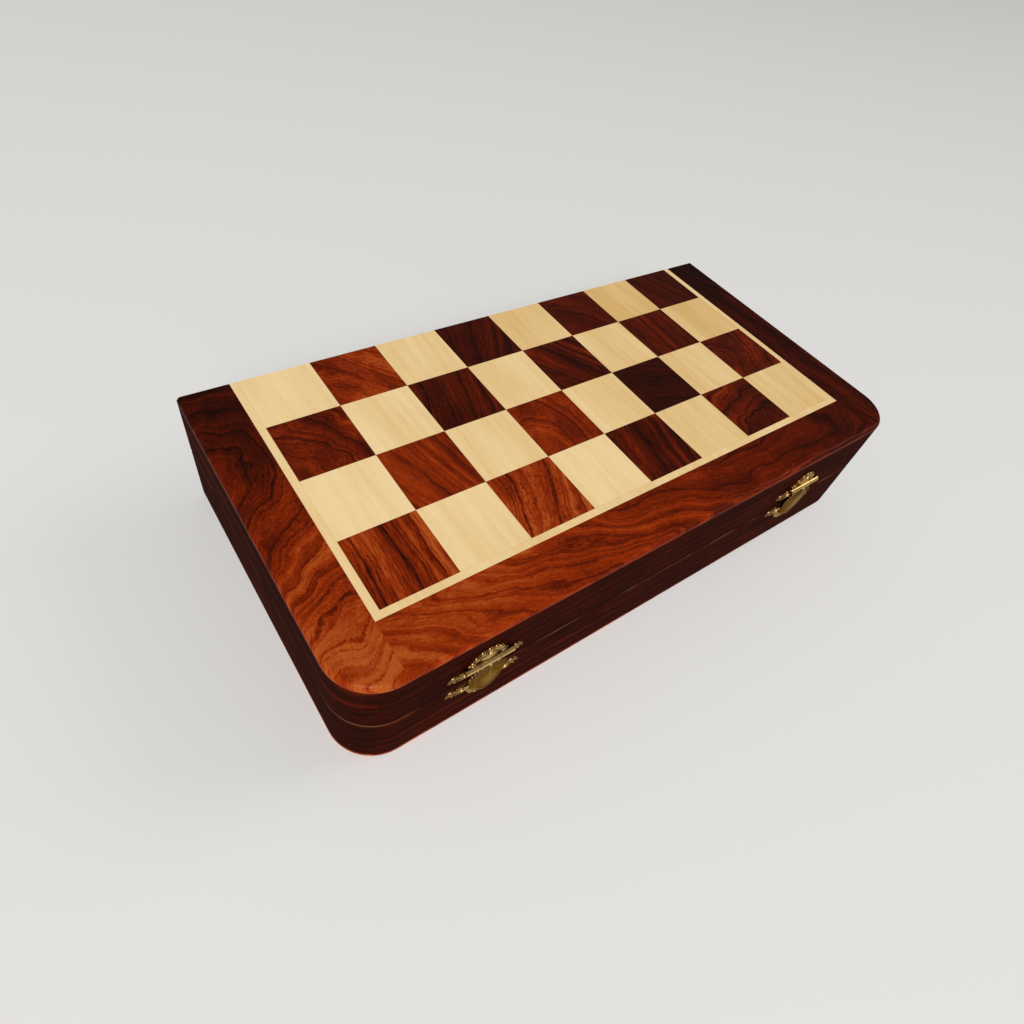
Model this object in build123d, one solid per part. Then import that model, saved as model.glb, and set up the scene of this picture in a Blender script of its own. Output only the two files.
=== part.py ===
from build123d import *
import math
import os

os.makedirs("parts", exist_ok=True)

# A folding chess set: two shallow wooden trays joined by hinges along the back, their outsides
# inlaid as the two halves of the board, with the chessmen lying in fitted pockets inside.
# Millimetres. X runs along the hinge line, Y points back to the hinges, Z points up.
# The origin is the middle of the closed box's bottom face.
# Every wooden piece is drawn once, for the lower tray, and mirrored in the seam for the upper.

# Playing surface of one tray
square = 31.75
columns = 8
rows = 4
hinge_edge_trim = 1.25
inlay_width = 3.2
side_border = 21.2
front_border = 23.0
tile_thickness = 3.0

# Wooden shell of one tray
core_thickness = 3.0
core_rebate = 5.0
rail_thickness = 11.0
half_height = 29.5
seam_gap = 0.3
corner_radius = 19.0
outer_edge_bevel = 1.2
seam_arris = 0.5
joint_clearance = 0.1

# Butt hinges let into the back rails
hinge_spacing = 150.0
hinge_length = 24.0
leaf_width = 9.0
leaf_thickness = 1.0
hinge_barrel_radius = 2.0
hinge_barrel_sides = 16
hinge_pin_radius = 1.0
barrel_notch_clearance = 0.4
screw_pitch = 15.0
screw_head_radius = 1.9
screw_shank_radius = 0.9
screw_length = 7.0

# Clearances shared by the hinges and the clasps
running_clearance = 0.05
knuckle_gap = 0.2
swing_clearance = 0.3

# Clasps on the front, heights measured from the seam
left_clasp_x = -98.3
right_clasp_x = 85.2
plate_thickness = 0.8
clasp_width = 33.0
crown_radius = 6.6
crown_lobe_radius = 1.5
crown_lobes = 5
crown_sides = 12
crown_rise = 20.2
crown_drop = 12.8
crown_nail_share = 0.75
wing_radius = 1.7
wing_tip_radius = 2.0
wing_droop = 1.4
upper_wing_height = 9.4
lower_wing_height = -2.5
clasp_hinge_height = 12.3
clasp_barrel_length = 20.6
clasp_barrel_radius = 1.3
clasp_pin_radius = 0.6
hasp_knuckle_length = 8.0
clasp_barrel_sides = 12
hasp_width = 16.4
hasp_shoulder_height = 5.2
hasp_waist_width = 9.6
hasp_waist_drop = 6.2
flank_draw = 0.9
hasp_drop = 9.8
hasp_depth = 1.9
hasp_wall = 0.7
hasp_flank_share = 0.97
hasp_face_share = 0.82
bead_radius = 1.1
beads_per_side = 4
stud_radius = 1.9
stud_drop = 3.6
nail_head_radius = 1.0
nail_head_height = 0.5
nail_shank_radius = 0.5
nail_length = 8.0
nail_spacing = 19.2
ornament_sides = 8
fastener_sides = 6

# Fitted insert and the chessmen lying in it
insert_height = 13.0
pocket_floor = 0.8
pocket_clearance = 0.3
insert_margin = 2.5
man_pitch = 34.0
channel_margin = 2.0
channel_floor = 1.2
officer_sides = 10
pawn_sides = 8
foot_rim = 0.08
tip_share = 0.035
pawn_ball_start = -50
pawn_ball_steps = 4
finial_start = -30
finial_steps = 3
ball_top = 65
crown_station = 0.86
crown_share = 0.58
pawn_height = 34.0
pawn_base_radius = 9.4
pawn_head_share = 0.155
rook_height = 39.0
rook_base_radius = 10.2
rook_head_share = 0.66
knight_height = 45.0
knight_base_radius = 10.4
knight_head_thickness = 9.0
knight_reach_share = 0.72
knight_pedestal_share = 0.30
bishop_height = 50.0
bishop_base_radius = 10.4
bishop_head_share = 0.48
bishop_head_station = 0.79
queen_height = 57.0
queen_base_radius = 10.8
king_height = 62.0
king_base_radius = 11.0
cross_height = 6.6
cross_width = 5.4
cross_thickness = 1.8

# Sizes of the closed box
grid_width = columns * square
box_width = grid_width + 2 * (inlay_width + side_border)
box_depth = rows * square - hinge_edge_trim + inlay_width + front_border
box_height = 2 * half_height + seam_gap
seam_height = box_height / 2
left_x = -box_width / 2
front_y = -box_depth / 2
back_y = box_depth / 2
deck_thickness = tile_thickness + core_thickness
seam_plane = Plane.XY.offset(seam_height)


def block(low, high):
    """A square-edged block between two opposite corners."""
    size = [b - a for a, b in zip(low, high)]
    return Pos(*low) * Box(*size, align=(Align.MIN, Align.MIN, Align.MIN))


def rod_along_x(radius, length, centre):
    """A round bar along X about a centre point."""
    return Pos(*centre) * Rot(0, 90, 0) * Cylinder(radius, length)


def bar_along_x(radius, length, centre, sides):
    """A bar along X with flats round it, its corners at the radius."""
    bar = turned([(-length / 2, radius), (length / 2, radius)], sides)
    return Pos(*centre) * Rot(0, 90, 0) * bar


def room_along_x(radius, length, centre, sides):
    """Room along X with flats round it that clears a round bar of a radius."""
    return bar_along_x(radius / math.cos(math.pi / sides), length, centre, sides)


def skin(rings):
    """A closed solid through rings of corners that lie one above another."""
    faces = [Face(Wire.make_polygon(ring)) for ring in (rings[0], rings[-1])]
    for low, high in zip(rings, rings[1:]):
        for index in range(len(low)):
            after = (index + 1) % len(low)
            corners = [low[index], low[after], high[after], high[index]]
            faces.append(Face(Wire.make_polygon(corners)))
    return Solid(Shell(faces))


def turned(profile, sides):
    """A turned piece with flats round it, from (height, radius) stations up its axis."""
    angles = [2 * math.pi * index / sides for index in range(sides)]
    return skin([
        [Vector(radius * math.cos(a), radius * math.sin(a), height) for a in angles]
        for height, radius in profile
    ])


def raised(outline, height):
    """A flat outline given its thickness upwards."""
    faces = [face if face.normal_at().Z > 0 else -face for face in outline.faces()]
    return extrude(faces, height)


def in_upper(shape):
    """The same piece in the upper tray."""
    return mirror(shape, about=seam_plane)


# The rounded block that all the wood of one tray is cut from
def tray_form():
    outline = Rectangle(box_width, box_depth)
    outline = fillet(outline.vertices().group_by(Axis.Y)[0], corner_radius)
    form = extrude(outline, half_height)

    def rim(level):
        return [e for e in form.edges().group_by(Axis.Z)[level] if e.center().Y < back_y - 1]

    form = chamfer(rim(0), outer_edge_bevel)
    return chamfer(rim(-1), seam_arris)


# Thin panel that closes the tray and carries the squares
def core_panel(clearance=0.0):
    inset = rail_thickness - core_rebate - clearance
    outline = Rectangle(box_width - 2 * inset, box_depth - 2 * inset)
    outline = fillet(outline.vertices().group_by(Axis.Y)[0], corner_radius - inset)
    return Pos(0, 0, tile_thickness) * extrude(outline, core_thickness)


# Hinge sizes that follow from the box
hinge_axis_y = back_y + seam_gap / 2
hinge_centres = [-hinge_spacing / 2, hinge_spacing / 2]
centre_knuckle = (hinge_length - 2 * knuckle_gap) / 3


def hinge_recess(x):
    """Room in a back rail for a hinge leaf and its barrel."""
    half = hinge_length / 2 + joint_clearance
    leaf_room = block(
        (x - half, back_y - leaf_width - joint_clearance, half_height - leaf_thickness),
        (x + half, back_y + 1, half_height + 1),
    )
    barrel_room = room_along_x(
        hinge_barrel_radius + barrel_notch_clearance,
        hinge_length + 2 * barrel_notch_clearance,
        (x, hinge_axis_y, seam_height),
        hinge_barrel_sides,
    )
    return leaf_room + barrel_room


# Four rails of a tray: the side rails run full depth and the others butt between them
def tray_rails(form):
    right_x = -left_x
    inner_left = left_x + rail_thickness
    low = tile_thickness
    blanks = {
        "left_rail": block((left_x, front_y, low), (inner_left, back_y, half_height)),
        "right_rail": block((-inner_left, front_y, low), (right_x, back_y, half_height)),
        "front_rail": block((inner_left, front_y, low), (-inner_left, front_y + rail_thickness, half_height)),
        "back_rail": block((inner_left, back_y - rail_thickness, low), (-inner_left, back_y, half_height)),
    }
    panel_room = core_panel(joint_clearance)
    rails = {name: (blank & form) - panel_room for name, blank in blanks.items()}
    for x in hinge_centres:
        rails["back_rail"] -= hinge_recess(x)
    return rails


# Dark border slabs on the playing face: the side slabs run full depth
def border_slabs(form):
    inner_left = left_x + side_border
    slabs = {
        "border_left": block((left_x, front_y, 0), (inner_left, back_y, tile_thickness)),
        "border_right": block((-inner_left, front_y, 0), (-left_x, back_y, tile_thickness)),
        "border_front": block(
            (inner_left, front_y, 0), (-inner_left, front_y + front_border, tile_thickness)
        ),
    }
    return {name: slab & form for name, slab in slabs.items()}


# Light strip let in round three sides of the squares
def inlay_strips():
    outer_left = left_x + side_border
    inner_left = outer_left + inlay_width
    strip_y = front_y + front_border
    left = block((outer_left, strip_y, 0), (inner_left, back_y, tile_thickness))
    right = block((-inner_left, strip_y, 0), (-outer_left, back_y, tile_thickness))
    front = block((inner_left, strip_y, 0), (-inner_left, strip_y + inlay_width, tile_thickness))
    return [left, front, right]


def squares(colour):
    """Every square whose column and row add up to the colour's parity, row 0 at the hinges."""
    first_y = front_y + front_border + inlay_width
    tiles = []
    for row in range(rows):
        low_y = first_y + (rows - 1 - row) * square
        high_y = min(low_y + square, back_y)
        for column in range(columns):
            if (row + column) % 2 == colour:
                low_x = -grid_width / 2 + column * square
                tiles.append(block((low_x, low_y, 0), (low_x + square, high_y, tile_thickness)))
    return tiles


# Hinge leaf of the lower tray, with either the outer knuckles or the centre one
def hinge_leaf(x, outer_knuckles):
    half = hinge_length / 2
    centre = (x, hinge_axis_y, seam_height)
    plate = block(
        (x - half, back_y - leaf_width, half_height - leaf_thickness),
        (x + half, hinge_axis_y, half_height),
    )
    barrel = bar_along_x(hinge_barrel_radius, hinge_length, centre, hinge_barrel_sides)
    swing_radius = hinge_barrel_radius + swing_clearance
    swing_room = room_along_x(swing_radius, hinge_length + 2, centre, hinge_barrel_sides)
    middle = block(
        (x - centre_knuckle / 2, 0, 0),
        (x + centre_knuckle / 2, box_depth, box_height),
    )
    middle_room = block(
        (x - centre_knuckle / 2 - knuckle_gap, 0, 0),
        (x + centre_knuckle / 2 + knuckle_gap, box_depth, box_height),
    )
    if outer_knuckles:
        leaf = (plate + barrel) - (swing_room & middle_room)
    else:
        leaf = (plate - swing_room) + ((barrel + plate) & middle)
    bore_radius = hinge_pin_radius + running_clearance
    leaf -= room_along_x(bore_radius, hinge_length + 2, centre, hinge_barrel_sides)
    for screw_x in (x - screw_pitch / 2, x + screw_pitch / 2):
        leaf -= screw(screw_x, running_clearance)
    return leaf


def screw(x, clearance=0.0):
    """A countersunk screw, head flush with the leaf, its shank down in the back rail."""
    shank = screw_shank_radius + clearance
    profile = [(-screw_length, shank), (-leaf_thickness, shank), (0, screw_head_radius + clearance)]
    return Pos(x, back_y - leaf_width / 2, half_height) * turned(profile, fastener_sides)


def hinge_pin(x):
    return rod_along_x(hinge_pin_radius, hinge_length, (x, hinge_axis_y, seam_height))


# Clasp pieces are drawn on the front face: x across, y up from the seam, z out of the box
def on_front(x):
    origin = (x, front_y, seam_height)
    return Location(Plane(origin=origin, x_dir=(1, 0, 0), z_dir=(0, -1, 0)))


clasp_axis_out = clasp_barrel_radius + knuckle_gap
clasp_axis = (0, clasp_hinge_height, clasp_axis_out)
crown_centre = crown_rise - crown_lobe_radius - crown_radius
crown_nail_height = crown_centre + crown_nail_share * crown_radius


def disc(centre, radius):
    """A small flat disc with short straight sides."""
    return Pos(*centre) * RegularPolygon(radius, ornament_sides)


def link(start, start_radius, end, end_radius):
    """A flat tapered bar between two discs."""
    run = Vector(*end) - Vector(*start)
    across = Vector(-run.Y, run.X).normalized()
    corners = [
        Vector(*start) + across * start_radius,
        Vector(*end) + across * end_radius,
        Vector(*end) - across * end_radius,
        Vector(*start) - across * start_radius,
    ]
    return Polygon(*corners, align=None)


# Ornamental plate outline: a lobed crown and a drooping scroll to each side
def scroll_outline(centre_height, crown_direction, wing_height):
    outline = Pos(0, centre_height) * RegularPolygon(crown_radius, crown_sides)
    for index in range(crown_lobes):
        angle = math.radians(180 * (index + 1) / (crown_lobes + 1))
        lobe_x = crown_radius * math.cos(angle)
        lobe_y = centre_height + crown_direction * crown_radius * math.sin(angle)
        outline += disc((lobe_x, lobe_y), crown_lobe_radius)
    tip_x = clasp_width / 2 - wing_tip_radius
    for side in (-1, 1):
        root = (side * crown_radius / 2, (centre_height + wing_height) / 2)
        wing = (side * nail_spacing / 2, wing_height)
        tip = (side * tip_x, wing_height - wing_droop)
        outline += link(root, wing_tip_radius, wing, wing_radius)
        outline += link(wing, wing_radius / 2, tip, wing_radius)
        outline += disc(wing, wing_radius)
        outline += disc(tip, wing_tip_radius)
    return outline


def nail_places(wing_height, crown_nail=None):
    places = [(-nail_spacing / 2, wing_height), (nail_spacing / 2, wing_height)]
    return places + ([(0, crown_nail)] if crown_nail is not None else [])


def nail_holes(places):
    radius = nail_shank_radius + running_clearance
    hole = turned([(-1, radius), (plate_thickness + 1, radius)], fastener_sides)
    return [Pos(*place, 0) * hole for place in places]


def nails(places):
    profile = [
        (plate_thickness - nail_length, nail_shank_radius),
        (plate_thickness, nail_shank_radius),
        (plate_thickness + 0.01, nail_head_radius),
        (plate_thickness + nail_head_height, nail_shank_radius),
    ]
    return [Pos(*place, 0) * turned(profile, fastener_sides) for place in places]


def clasp_pin():
    return rod_along_x(clasp_pin_radius, clasp_barrel_length, clasp_axis)


def pin_room():
    radius = clasp_pin_radius + running_clearance
    return room_along_x(radius, clasp_barrel_length + 2, clasp_axis, clasp_barrel_sides)


# Upper plate with the two outer knuckles of the hasp's hinge
def clasp_plate():
    plate = raised(scroll_outline(crown_centre, 1, upper_wing_height), plate_thickness)
    saddle = block(
        (-clasp_barrel_length / 2, clasp_hinge_height - clasp_barrel_radius, 0),
        (clasp_barrel_length / 2, clasp_hinge_height + clasp_barrel_radius, plate_thickness),
    )
    plate += saddle
    knuckle_start = hasp_knuckle_length / 2 + knuckle_gap
    knuckle_length = clasp_barrel_length / 2 - knuckle_start
    for side in (-1, 1):
        offset = Pos(side * (knuckle_start + knuckle_length / 2), 0)
        plate += offset * bar_along_x(clasp_barrel_radius, knuckle_length, clasp_axis, clasp_barrel_sides)
    swing_radius = clasp_barrel_radius + swing_clearance
    plate -= room_along_x(swing_radius, 2 * knuckle_start, clasp_axis, clasp_barrel_sides)
    plate -= pin_room()
    for hole in nail_holes(nail_places(upper_wing_height, crown_nail_height)):
        plate -= hole
    return plate


# Corners of the hasp's shield at one height, drawn in towards its middle by a share
def shield_ring(height, share):
    neck = (hasp_knuckle_length / 2 - 2 * bead_radius, clasp_hinge_height)
    shoulder = (hasp_width / 2, hasp_shoulder_height)
    waist = (hasp_waist_width / 2, -hasp_waist_drop)
    flank = (shoulder[0] - flank_draw, (shoulder[1] + waist[1]) / 2)
    cheek = (waist[0] / 2, waist[1] - (hasp_drop - hasp_waist_drop) * 0.8)
    right = [neck, shoulder, flank, waist, cheek]
    left = [(-x, y) for x, y in reversed(right)]
    middle = (clasp_hinge_height - hasp_drop) / 2
    return [
        Vector(x * share, middle + (y - middle) * share, height)
        for x, y in [*right, (0, -hasp_drop), *left]
    ]


def hasp_beads():
    """Round beads along both sloping shoulders of the hasp."""
    start = (hasp_knuckle_length / 2 - bead_radius, clasp_hinge_height - clasp_barrel_radius - bead_radius)
    end = (hasp_width / 2 - bead_radius / 2, hasp_shoulder_height + bead_radius / 2)
    bead = turned([(0, bead_radius), (hasp_depth, bead_radius / 2)], fastener_sides)
    beads = []
    for index in range(beads_per_side):
        share = index / (beads_per_side - 1)
        bead_x = start[0] + share * (end[0] - start[0])
        bead_y = start[1] + share * (end[1] - start[1])
        beads += [Pos(side * bead_x, bead_y) * bead for side in (-1, 1)]
    return beads


# Dished shield that hangs on the pin and snaps over the keeper's stud
def hasp():
    wall_share = 2 * hasp_wall / hasp_width
    rings = [(0, 1), (hasp_depth / 2, hasp_flank_share), (hasp_depth, hasp_face_share)]
    shell = skin([shield_ring(height, share) for height, share in rings])
    hollow = skin([shield_ring(height - hasp_wall, share - wall_share) for height, share in rings])
    for bead in hasp_beads():
        shell += bead
    body = Pos(0, 0, clasp_axis_out) * (shell - hollow)
    body += bar_along_x(clasp_barrel_radius, hasp_knuckle_length, clasp_axis, clasp_barrel_sides)
    return body - pin_room()


# Lower plate with the stud that the hasp snaps over
def keeper():
    foot_centre = -crown_drop + crown_lobe_radius + crown_radius
    outline = scroll_outline(foot_centre, -1, lower_wing_height)
    above_seam = Pos(0, crown_drop - seam_gap / 2 - seam_arris) * Rectangle(2 * clasp_width, 2 * crown_drop)
    plate = raised(outline - above_seam, plate_thickness)
    stud_height = clasp_axis_out + hasp_depth - hasp_wall - plate_thickness - swing_clearance
    profile = [(0, stud_radius), (stud_height / 2, stud_radius), (stud_height, stud_radius / 2)]
    stud = turned(profile, ornament_sides)
    plate += Pos(0, -stud_drop, plate_thickness) * stud
    for hole in nail_holes(nail_places(lower_wing_height)):
        plate -= hole
    return plate


# Chessmen: a foot of one pattern under each man, in shares of its height and base radius
foot = [(0.0, 1.0), (foot_rim, 1.0), (0.19, 0.64)]


def turned_man(height, base, stations, top=(), sides=officer_sides):
    """A turned man, from stations in shares of its height and base, and those of what tops it."""
    profile = [(share * height, width * base) for share, width in foot + stations]
    return turned(profile + list(top), sides)


def ball(centre, radius, first, steps):
    """Stations of a ball from one latitude in degrees to near its top."""
    angles = [math.radians(first + (ball_top - first) * index / (steps - 1)) for index in range(steps)]
    return [(centre + radius * math.sin(a), radius * math.cos(a)) for a in angles]


def finial(height):
    """Stations of the small ball that tops a bishop or a queen."""
    radius = tip_share * height
    return ball(height - radius, radius, finial_start, finial_steps)


def pawn():
    stations = [(0.58, 0.29), (0.62, 0.54), (0.68, 0.30)]
    radius = pawn_head_share * pawn_height
    head = ball(pawn_height - radius, radius, pawn_ball_start, pawn_ball_steps)
    return turned_man(pawn_height, pawn_base_radius, stations, head, pawn_sides)


def rook():
    stations = [(0.62, 0.44), (0.70, 0.66), (0.76, 0.58), (1.0, rook_head_share)]
    man = turned_man(rook_height, rook_base_radius, stations)
    notch = 0.24 * rook_base_radius
    depth = 0.08 * rook_height
    for turn in (0, 90):
        man -= Pos(0, 0, rook_height) * Rot(0, 0, turn) * Box(3 * rook_base_radius, notch, 2 * depth)
    return man


# Side view of the knight's head, in shares of its reach and of its height above the foot
knight_outline = [
    (-0.80, 0.0), (-0.95, 0.30), (-0.80, 0.62), (-0.45, 0.86), (-0.12, 0.92), (-0.02, 1.0),
    (0.12, 0.90), (0.42, 0.74), (1.05, 0.52), (1.12, 0.40), (0.92, 0.33), (0.45, 0.42),
    (0.22, 0.36), (0.62, 0.16), (0.80, 0.0),
]
knight_muzzle = max(x for x, _ in knight_outline)


def knight():
    reach = knight_reach_share * knight_base_radius
    neck = knight_pedestal_share * knight_height
    span = knight_height - neck
    pedestal = turned_man(
        knight_height, knight_base_radius, [(0.25, 0.78), (knight_pedestal_share, 0.70)]
    )
    points = [(x * reach, neck + y * span) for x, y in knight_outline]
    side_view = make_face(Polyline(*points, close=True))
    return pedestal + extrude(Plane.XZ * side_view, knight_head_thickness / 2, both=True)


def bishop():
    stations = [
        (0.57, 0.27), (0.60, 0.56), (0.635, 0.50), (0.65, 0.32),
        (0.73, 0.49), (bishop_head_station, bishop_head_share), (0.90, 0.20),
    ]
    man = turned_man(bishop_height, bishop_base_radius, stations, finial(bishop_height))
    slit = Box(bishop_base_radius, 2 * bishop_base_radius, 0.10 * bishop_base_radius)
    return man - Pos(0.36 * bishop_base_radius, 0, 0.86 * bishop_height) * Rot(0, -50, 0) * slit


def queen():
    stations = [
        (0.61, 0.27), (0.64, 0.58), (0.665, 0.52), (0.68, 0.34),
        (crown_station, crown_share), (0.90, 0.46), (0.93, 0.14),
    ]
    return turned_man(queen_height, queen_base_radius, stations, finial(queen_height))


def king():
    crown_top = king_height - cross_height
    stations = [
        (0.60, 0.28), (0.62, 0.60), (0.645, 0.54), (0.66, 0.36),
        (crown_station, crown_share), (crown_station + 0.015, 0.50), (crown_top / king_height, 0.12),
    ]
    man = turned_man(king_height, king_base_radius, stations)
    half = cross_thickness / 2
    arm_middle = king_height - 0.42 * cross_height
    upright = block((-half, -half, crown_top - half), (half, half, king_height))
    arms = block((-cross_width / 2, -half, arm_middle - half), (cross_width / 2, half, arm_middle + half))
    return man + upright + arms


class Man:
    """A chessman, the sizes that its pocket needs and the columns where it lies."""

    def __init__(self, shape, height, base, head_radius, head_station, places, half_width=0.0):
        self.shape = shape
        self.height = height
        self.base = base
        self.half_width = max(half_width, head_radius)
        self.places = places
        self.rim = foot_rim * height
        self.tilt = math.atan2(base - head_radius, head_station - self.rim)


def back_rank():
    """The eight men of the back rank, in the order that they stand on the board."""
    muzzle = knight_muzzle * knight_reach_share * knight_base_radius
    return {
        "rooks": Man(rook(), rook_height, rook_base_radius,
                     rook_head_share * rook_base_radius, rook_height, [0, 7]),
        "knights": Man(knight(), knight_height, knight_base_radius,
                       knight_head_thickness / 2, knight_height, [1, 6], muzzle),
        "bishops": Man(bishop(), bishop_height, bishop_base_radius,
                       bishop_head_share * bishop_base_radius, bishop_head_station * bishop_height, [2, 5]),
        "queen": Man(queen(), queen_height, queen_base_radius,
                     crown_share * queen_base_radius, crown_station * queen_height, [3]),
        "king": Man(king(), king_height, king_base_radius,
                    crown_share * king_base_radius, crown_station * king_height, [4]),
    }


def pawn_rank():
    head_radius = pawn_head_share * pawn_height
    return {
        "pawns": Man(pawn(), pawn_height, pawn_base_radius, head_radius * 1.02,
                     pawn_height - head_radius, list(range(columns))),
    }


insert_bottom = deck_thickness
insert_top = insert_bottom + insert_height
floor_height = insert_bottom + pocket_floor
insert_half_x = box_width / 2 - rail_thickness - pocket_clearance
insert_half_y = box_depth / 2 - rail_thickness - pocket_clearance
base_line_y = insert_half_y - insert_margin


def column_x(place):
    return (place - (columns - 1) / 2) * man_pitch


def lean(man):
    """How far the edge of the tilted foot reaches behind its middle."""
    return man.base * math.sin(man.tilt)


def lay_down(man, place, facing):
    """The man on its side, foot at the base line, head towards the finger channel."""
    rise = man.base * math.cos(man.tilt) + man.rim * math.sin(man.tilt)
    lying = Rot(-90 - math.degrees(man.tilt), 0, 0) * man.shape
    start_y = -base_line_y + pocket_clearance + lean(man)
    laid = Pos(0, start_y, floor_height + pocket_clearance + rise) * lying
    if facing < 0:
        laid = Rot(0, 0, 180) * laid
    return Pos(column_x(place), 0, 0) * laid


def pocket_end(man):
    """How far the pocket reaches from the base line."""
    return 2 * pocket_clearance + 2 * lean(man) + man.height * math.cos(man.tilt)


def pocket(man, place, facing):
    """Straight-walled pocket, wide at the foot and narrow at the head."""
    wide = man.base + pocket_clearance
    narrow = man.half_width + pocket_clearance
    length = pocket_end(man)
    foot_end = 2 * pocket_clearance + 2 * lean(man) + man.rim
    right = [(wide, 0), (wide, foot_end), (narrow, length)]
    left = [(-x, y) for x, y in reversed(right)]
    plan = make_face(Polyline(*right, *left, close=True))
    room = Pos(0, -base_line_y, floor_height) * extrude(plan, insert_height)
    if facing < 0:
        room = Rot(0, 0, 180) * room
    return Pos(column_x(place), 0, 0) * room


# Fitted insert with a pocket for each man and a channel for fingertips between the ranks
def insert(ranks):
    body = block((-insert_half_x, -insert_half_y, insert_bottom), (insert_half_x, insert_half_y, insert_top))
    for facing, rank in ranks:
        for man in rank.values():
            for place in man.places:
                body -= pocket(man, place, facing)
    front_edge = -base_line_y + max(pocket_end(man) for man in ranks[0][1].values()) + channel_margin
    back_edge = base_line_y - max(pocket_end(man) for man in ranks[1][1].values()) - channel_margin
    channel_end = insert_half_x - insert_margin
    channel = block(
        (-channel_end, front_edge, insert_bottom + channel_floor),
        (channel_end, back_edge, insert_top + 1),
    )
    print("finger channel", [round(v, 2) for v in (channel_end, front_edge, back_edge)])
    return body - channel


nodes = {}


def add(name, shape):
    """Keep one node: a solid, or a group of separate solids."""
    if isinstance(shape, list):
        shape = Compound(children=shape)
    nodes[name] = shape


# Wood of both trays
form = tray_form()
wood = {"core": core_panel()}
wood.update(tray_rails(form))
wood.update(border_slabs(form))
for name, piece in wood.items():
    add(f"lower_{name}", piece)
    add(f"upper_{name}", in_upper(piece))
strips = inlay_strips()
add("lower_inlay_strips", strips)
add("upper_inlay_strips", [in_upper(strip) for strip in strips])
add("lower_light_squares", squares(1))
add("lower_dark_squares", squares(0))
add("upper_light_squares", [in_upper(tile) for tile in squares(0)])
add("upper_dark_squares", [in_upper(tile) for tile in squares(1)])

# Hinges
screws = [screw(x + side * screw_pitch / 2) for x in hinge_centres for side in (-1, 1)]
add("hinge_screws_lower", screws)
add("hinge_screws_upper", [in_upper(piece) for piece in screws])
for side, x in zip(("left", "right"), hinge_centres):
    add(f"{side}_hinge_lower_leaf", hinge_leaf(x, True))
    add(f"{side}_hinge_upper_leaf", in_upper(hinge_leaf(x, False)))
    add(f"{side}_hinge_pin", hinge_pin(x))

# Clasps
fronts = {"left": on_front(left_clasp_x), "right": on_front(right_clasp_x)}
upper_nails = nails(nail_places(upper_wing_height, crown_nail_height))
lower_nails = nails(nail_places(lower_wing_height))
add("clasp_nails_upper", [front * nail for front in fronts.values() for nail in upper_nails])
add("clasp_nails_lower", [front * nail for front in fronts.values() for nail in lower_nails])
for side, front in fronts.items():
    add(f"{side}_clasp_plate", front * clasp_plate())
    add(f"{side}_clasp_keeper", front * keeper())
    add(f"{side}_hasp", front * hasp())
    add(f"{side}_hasp_pin", front * clasp_pin())

# Inserts and chessmen, white below and black above
ranks = [(1, back_rank()), (-1, pawn_rank())]
lower_insert = insert(ranks)
add("lower_insert", lower_insert)
add("upper_insert", in_upper(lower_insert))
for facing, rank in ranks:
    for name, man in rank.items():
        laid = [lay_down(man, place, facing) for place in man.places]
        add(f"white_{name}", laid)
        add(f"black_{name}", [in_upper(piece) for piece in laid])

for name, shape in nodes.items():
    export_step(shape, f"parts/{name}.step")
print(len(nodes), "nodes")
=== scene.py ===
"""Dresses the folding chess box: lacquered rosewood and boxwood, brass hardware, turned men."""

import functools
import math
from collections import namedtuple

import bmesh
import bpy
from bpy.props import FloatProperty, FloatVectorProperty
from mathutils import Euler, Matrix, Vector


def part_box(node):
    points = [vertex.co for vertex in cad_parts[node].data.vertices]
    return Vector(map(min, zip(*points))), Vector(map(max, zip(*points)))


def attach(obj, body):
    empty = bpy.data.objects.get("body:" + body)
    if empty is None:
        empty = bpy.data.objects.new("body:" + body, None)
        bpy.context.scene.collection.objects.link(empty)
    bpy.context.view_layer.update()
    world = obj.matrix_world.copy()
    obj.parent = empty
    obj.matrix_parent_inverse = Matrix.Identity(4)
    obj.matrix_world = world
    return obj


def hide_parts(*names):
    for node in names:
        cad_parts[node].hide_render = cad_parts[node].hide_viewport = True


bl_info = {
    "name": "Folding Chess Set",
    "version": (1, 0, 0),
    "blender": (4, 5, 0),
    "location": "View3D > Sidebar > Chess Set",
    "description": "Rosewood and boxwood folding board with brass clasps and turned chessmen",
    "category": "Object",
}

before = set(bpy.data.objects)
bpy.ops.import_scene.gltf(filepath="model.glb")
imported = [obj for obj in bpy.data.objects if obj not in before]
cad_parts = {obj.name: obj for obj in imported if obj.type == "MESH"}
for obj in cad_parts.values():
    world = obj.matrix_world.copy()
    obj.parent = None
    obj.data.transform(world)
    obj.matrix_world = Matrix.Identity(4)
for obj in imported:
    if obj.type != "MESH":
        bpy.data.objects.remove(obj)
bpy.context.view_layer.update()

MM = 0.001
HALVES = ("lower", "upper")
SIDES = ("left", "right")


# Sizes read from the frame, in millimetres
def node_box(node):
    """Lowest and highest corner of a CAD node, in millimetres."""
    low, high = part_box(node)
    return low / MM, high / MM


light_low, light_high = node_box("upper_light_squares")
COLUMNS = 8
ROWS = 4
SQUARE = (light_high.x - light_low.x) / COLUMNS
GRID_LEFT = light_low.x
GRID_FRONT = light_low.y
BOX_TOP = node_box("upper_inlay_strips")[1].z
SEAM = BOX_TOP / 2
FRONT = node_box("upper_front_rail")[0].y


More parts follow.
